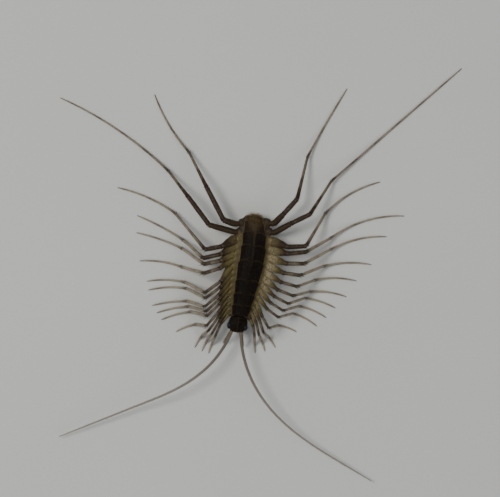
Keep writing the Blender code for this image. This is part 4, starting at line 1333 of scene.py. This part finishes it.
def head_bristles(rng):
    """Short bristles all over the head, but for its rear and the ground about the eyes."""
    d = unit(rng.normal(0, 1, (HEAD_HAIRS, 3)))
    d = d[d[:, 1] < 0.75]
    roots = beside_axis(RIGHT, HEAD_AT) + d * HEAD_SIZE * 0.995
    clear = np.ones(len(d), bool)
    for side in SIDES:
        offset = (roots - beside_axis(side, EYE_AT)) / EYE_SIZE
        clear &= np.linalg.norm(offset, axis=1) > 1.35
    d = d[clear]
    aims = unit(d / HEAD_SIZE) * 0.7 + np.array((0, -0.5, 0.1))
    spots = np.stack([0.5 + np.arctan2(d[:, 0], -d[:, 1]) / FULL_TURN * 0.95,
                      0.5 + 0.45 * d[:, 2]], -1)
    return bristles(roots[clear], aims, rng.uniform(0.12, 0.34, len(d)), FINE_BRISTLE,
                    np.array((0.0, -0.1, 0.05)), spots, gold=rng.uniform(0.1, 0.5, len(d)))


def limb_bristles(path, count, radius, column, rng):
    """Bristles all round a claw or palp."""
    share = rng.uniform(0.2, 0.95, count)
    angle = rng.uniform(0, FULL_TURN, count)
    roots, forward, away, spots = hairs_round(path, share * path.stations[-1], angle,
                                              radius * (1 - 0.35 * share), column, 4)
    return bristles(roots, forward + away, rng.uniform(0.18, 0.4, count), FINE_BRISTLE,
                    forward * 0.2, spots, gold=rng.uniform(0.2, 0.6, count))


def build_bristles(sizes, colours):
    """Bristles of the back, the rear end, the head and its limbs."""
    hair = bristle_paint("body bristles", colours)
    rng = np.random.default_rng(SEED + 2)
    make_piece("back_bristles", plate_bristles(rng), hair)
    make_piece("rear_tuft", rear_tuft(rng), hair)
    make_piece("head_bristles", head_bristles(rng), hair)
    groups = []
    for column, side in enumerate(SIDES):
        groups.append(limb_bristles(limb_line(side, CLAW_PATH), CLAW_HAIRS, 0.4, column, rng))
        groups.append(limb_bristles(limb_line(side, PALP_PATH), PALP_HAIRS, 0.25, column + 2,
                                    rng))
    make_piece("mouth_bristles", joined(groups), hair)


# Stage

def area_light(name, place, target, size, power, colour):
    """A round soft lamp that faces its target."""
    lamp = bpy.data.lights.new(name, "AREA")
    lamp.shape = "DISK"
    lamp.size = size
    lamp.energy = power
    lamp.color = colour
    holder = bpy.data.objects.new(name, lamp)
    holder.location = place
    x, y, z = unit(place - target)
    holder.rotation_euler = (math.acos(z), 0, math.atan2(y, x) + math.pi / 2)
    bpy.context.scene.collection.objects.link(holder)


def build_stage(sizes, colours):
    """Pale floor, a soft key light from the picture's left, a fill and the camera above."""
    half = sizes.floor_size / 2
    mesh = bpy.data.meshes.new("floor")
    mesh.from_pydata([(-half, -half, 0), (half, -half, 0), (half, half, 0), (-half, half, 0)],
                     [], [(0, 1, 2, 3)])
    mesh.materials.append(floor_paint("pale floor", colours))
    floor = bpy.data.objects.new("floor", mesh)
    bpy.context.scene.collection.objects.link(floor)

    middle = (np.array((*PICTURE_MIDDLE, BACK_HEIGHT)) + SHIFT) * MM
    right = np.array((math.cos(PICTURE_TURN), math.sin(PICTURE_TURN), 0))
    for name, (place, size, power, colour) in LAMPS.items():
        away = place @ np.array((right, np.cross(UP, right), UP))
        area_light(name, middle + away, middle, size, power, colour)

    world = bpy.data.worlds.new("studio")
    world.use_nodes = True
    sky = world.node_tree.nodes["Background"]
    sky.inputs["Color"].default_value = SKY_COLOUR
    sky.inputs["Strength"].default_value = SKY_STRENGTH
    bpy.context.scene.world = world

    lens = bpy.data.cameras.new("camera")
    lens.lens = lens.sensor_width * sizes.camera_height / (PICTURE_WIDTH * MM)
    lens.clip_start = 0.01
    camera = bpy.data.objects.new("camera", lens)
    camera.location = middle + UP * sizes.camera_height
    camera.rotation_euler = (0, 0, PICTURE_TURN)
    bpy.context.scene.collection.objects.link(camera)
    bpy.context.scene.camera = camera


# Settings, operators and panel

def length_setting(name, description, default):
    """A length that the user can change."""
    return bpy.props.FloatProperty(name=name, description=description, default=default,
                                   min=0.0, unit="LENGTH", precision=5)


def colour_setting(name, description, default):
    """A colour that the user can change."""
    return bpy.props.FloatVectorProperty(name=name, description=description, default=default,
                                         min=0.0, max=1.0, size=3, subtype="COLOR")


class CentipedeSizes(bpy.types.PropertyGroup):
    """Sizes of the finer forms and of the stage"""
    leg_thickness: bpy.props.FloatProperty(
        name="Leg thickness", description="Thickness of the legs against the natural one",
        default=1.0, min=0.5, max=1.3, subtype="FACTOR")
    ring_pitch: length_setting("Foot rings", "Length of one ring of a foot", 0.42 * MM)
    spine_length: length_setting("Spines", "Length of the longest leg spines", 1.38 * MM)
    bristle_length: length_setting("Bristles", "Length of the leg bristles", 0.34 * MM)
    plate_thickness: length_setting("Plates", "Thickness of the back plates", 0.14 * MM)
    eye_facets: bpy.props.IntProperty(
        name="Eye facets", description="Facets on one whole eyeball", default=420, min=50)
    floor_size: length_setting("Floor", "Width of the floor", 4.0)
    camera_height: length_setting("Camera height", "Height of the camera over the back", 0.6)


class CentipedeColours(bpy.types.PropertyGroup):
    """Colours of the skins, the bristles and the floor"""
    shell: colour_setting("Shell", "Back plates and head", (0.003, 0.0022, 0.0016))
    shell_brown: colour_setting("Shell sides", "Sides of plates and head", (0.017, 0.0095, 0.0055))
    shell_rim: colour_setting("Plate rims", "Rims of the plates", (0.03, 0.019, 0.01))
    back_line: colour_setting("Back line", "Line down the back", (0.07, 0.05, 0.024))
    skin: colour_setting("Skin", "Flanks and leg bases", (0.165, 0.132, 0.054))
    # Painted light on the right flank and right leg bases.
    skin_painted_light: colour_setting("Painted flank light", "Painted light on the right flank and leg bases", (0.34, 0.285, 0.18))
    skin_dark: colour_setting("Skin patches", "Darker patches of the skin", (0.08, 0.061, 0.022))
    skin_shade: colour_setting("Shaded skin", "Skin close to the plates", (0.045, 0.034, 0.01))
    membrane: colour_setting("Joint skin", "Soft skin at the joints", (0.22, 0.18, 0.1))
    leg_pale: colour_setting("Legs", "Paler parts of shins and feet", (0.3, 0.255, 0.185))
    leg_dark: colour_setting("Leg bands", "Dark bands of the legs", (0.028, 0.0165, 0.0085))
    horn: colour_setting("Horn", "Spines and claw tips", (0.012, 0.007, 0.005))
    feeler: colour_setting("Feelers", "Feelers near the head", (0.125, 0.105, 0.08))
    feeler_tip: colour_setting("Feeler tips", "Feelers towards the tip", (0.25, 0.225, 0.185))
    eye: colour_setting("Eyes", "Eye facets", (0.006, 0.006, 0.008))
    # Painted sheen on the tops of the eye facets.
    eye_painted_sheen: colour_setting("Eye painted sheen", "Painted sheen on the eyes", (0.014, 0.014, 0.018))
    bristle: colour_setting("Bristles", "Darkest bristles", (0.03, 0.019, 0.01))
    bristle_gold: colour_setting("Pale bristles", "Palest bristles", (0.2, 0.135, 0.055))
    floor: colour_setting("Floor", "Pale floor", (0.5, 0.5, 0.475))


class PieceOperator:
    """Shared by the operators: runs the piece's build function with the scene's settings."""

    bl_options = {"REGISTER", "UNDO"}

    def execute(self, context):
        scene = context.scene
        type(self).build(scene.centipede_sizes, scene.centipede_colours)
        return {"FINISHED"}


class CENTIPEDE_OT_stage(PieceOperator, bpy.types.Operator):
    """Make the floor, the lights and the camera"""
    bl_idname = "centipede.stage"
    bl_label = "Stage"
    build = staticmethod(build_stage)


class CENTIPEDE_OT_trunk_skin(PieceOperator, bpy.types.Operator):
    """Make the trunk's soft skin with the leg bases"""
    bl_idname = "centipede.trunk_skin"
    bl_label = "Trunk Skin"
    build = staticmethod(build_trunk_skin)


class CENTIPEDE_OT_back_plates(PieceOperator, bpy.types.Operator):
    """Make the shingled plates of the back"""
    bl_idname = "centipede.back_plates"
    bl_label = "Back Plates"
    build = staticmethod(build_back_plates)


class CENTIPEDE_OT_belly_plates(PieceOperator, bpy.types.Operator):
    """Make the shields of the belly"""
    bl_idname = "centipede.belly_plates"
    bl_label = "Belly Plates"
    build = staticmethod(build_belly_plates)


class CENTIPEDE_OT_tail(PieceOperator, bpy.types.Operator):
    """Make the last segment and its claspers"""
    bl_idname = "centipede.tail"
    bl_label = "Tail End"
    build = staticmethod(build_tail)


class CENTIPEDE_OT_head(PieceOperator, bpy.types.Operator):
    """Make the head, lip, jaws and feeler sockets"""
    bl_idname = "centipede.head"
    bl_label = "Head"
    build = staticmethod(build_head)


class CENTIPEDE_OT_eyes(PieceOperator, bpy.types.Operator):
    """Make the two faceted eyes"""
    bl_idname = "centipede.eyes"
    bl_label = "Eyes"
    build = staticmethod(build_eyes)


class CENTIPEDE_OT_claws(PieceOperator, bpy.types.Operator):
    """Make the two poison claws"""
    bl_idname = "centipede.claws"
    bl_label = "Poison Claws"
    build = staticmethod(build_claws)


class CENTIPEDE_OT_palps(PieceOperator, bpy.types.Operator):
    """Make the two feeding palps"""
    bl_idname = "centipede.palps"
    bl_label = "Palps"
    build = staticmethod(build_palps)


class CENTIPEDE_OT_feelers(PieceOperator, bpy.types.Operator):
    """Make the two feelers and their hairs"""
    bl_idname = "centipede.feelers"
    bl_label = "Feelers"
    build = staticmethod(build_feelers)


class CENTIPEDE_OT_legs(PieceOperator, bpy.types.Operator):
    """Make the thirty legs with spines and bristles"""
    bl_idname = "centipede.legs"
    bl_label = "Legs"
    build = staticmethod(build_legs)


class CENTIPEDE_OT_bristles(PieceOperator, bpy.types.Operator):
    """Make the bristles of trunk, rear end and head"""
    bl_idname = "centipede.bristles"
    bl_label = "Body Bristles"
    build = staticmethod(build_bristles)


OPERATORS = (CENTIPEDE_OT_stage, CENTIPEDE_OT_trunk_skin, CENTIPEDE_OT_back_plates,
             CENTIPEDE_OT_belly_plates, CENTIPEDE_OT_tail, CENTIPEDE_OT_head,
             CENTIPEDE_OT_eyes, CENTIPEDE_OT_claws, CENTIPEDE_OT_palps,
             CENTIPEDE_OT_feelers, CENTIPEDE_OT_legs, CENTIPEDE_OT_bristles)


class CENTIPEDE_PT_panel(bpy.types.Panel):
    """Lists the pieces and their settings"""
    bl_label = "House Centipede"
    bl_idname = "CENTIPEDE_PT_panel"
    bl_space_type = "VIEW_3D"
    bl_region_type = "UI"
    bl_category = "Centipede"

    def draw(self, context):
        for operator in OPERATORS:
            self.layout.operator(operator.bl_idname)
        for group in (context.scene.centipede_sizes, context.scene.centipede_colours):
            box = self.layout.box()
            for name in group.__annotations__:
                box.prop(group, name)


CLASSES = (CentipedeSizes, CentipedeColours, *OPERATORS, CENTIPEDE_PT_panel)


def register():
    for cls in CLASSES:
        bpy.utils.register_class(cls)
    bpy.types.Scene.centipede_sizes = bpy.props.PointerProperty(type=CentipedeSizes)
    bpy.types.Scene.centipede_colours = bpy.props.PointerProperty(type=CentipedeColours)


def unregister():
    del bpy.types.Scene.centipede_colours
    del bpy.types.Scene.centipede_sizes
    for cls in reversed(CLASSES):
        bpy.utils.unregister_class(cls)


def main():
    register()
    for operator in OPERATORS:
        group, name = operator.bl_idname.split(".")
        getattr(getattr(bpy.ops, group), name)()


if __name__ == "__main__":
    main()
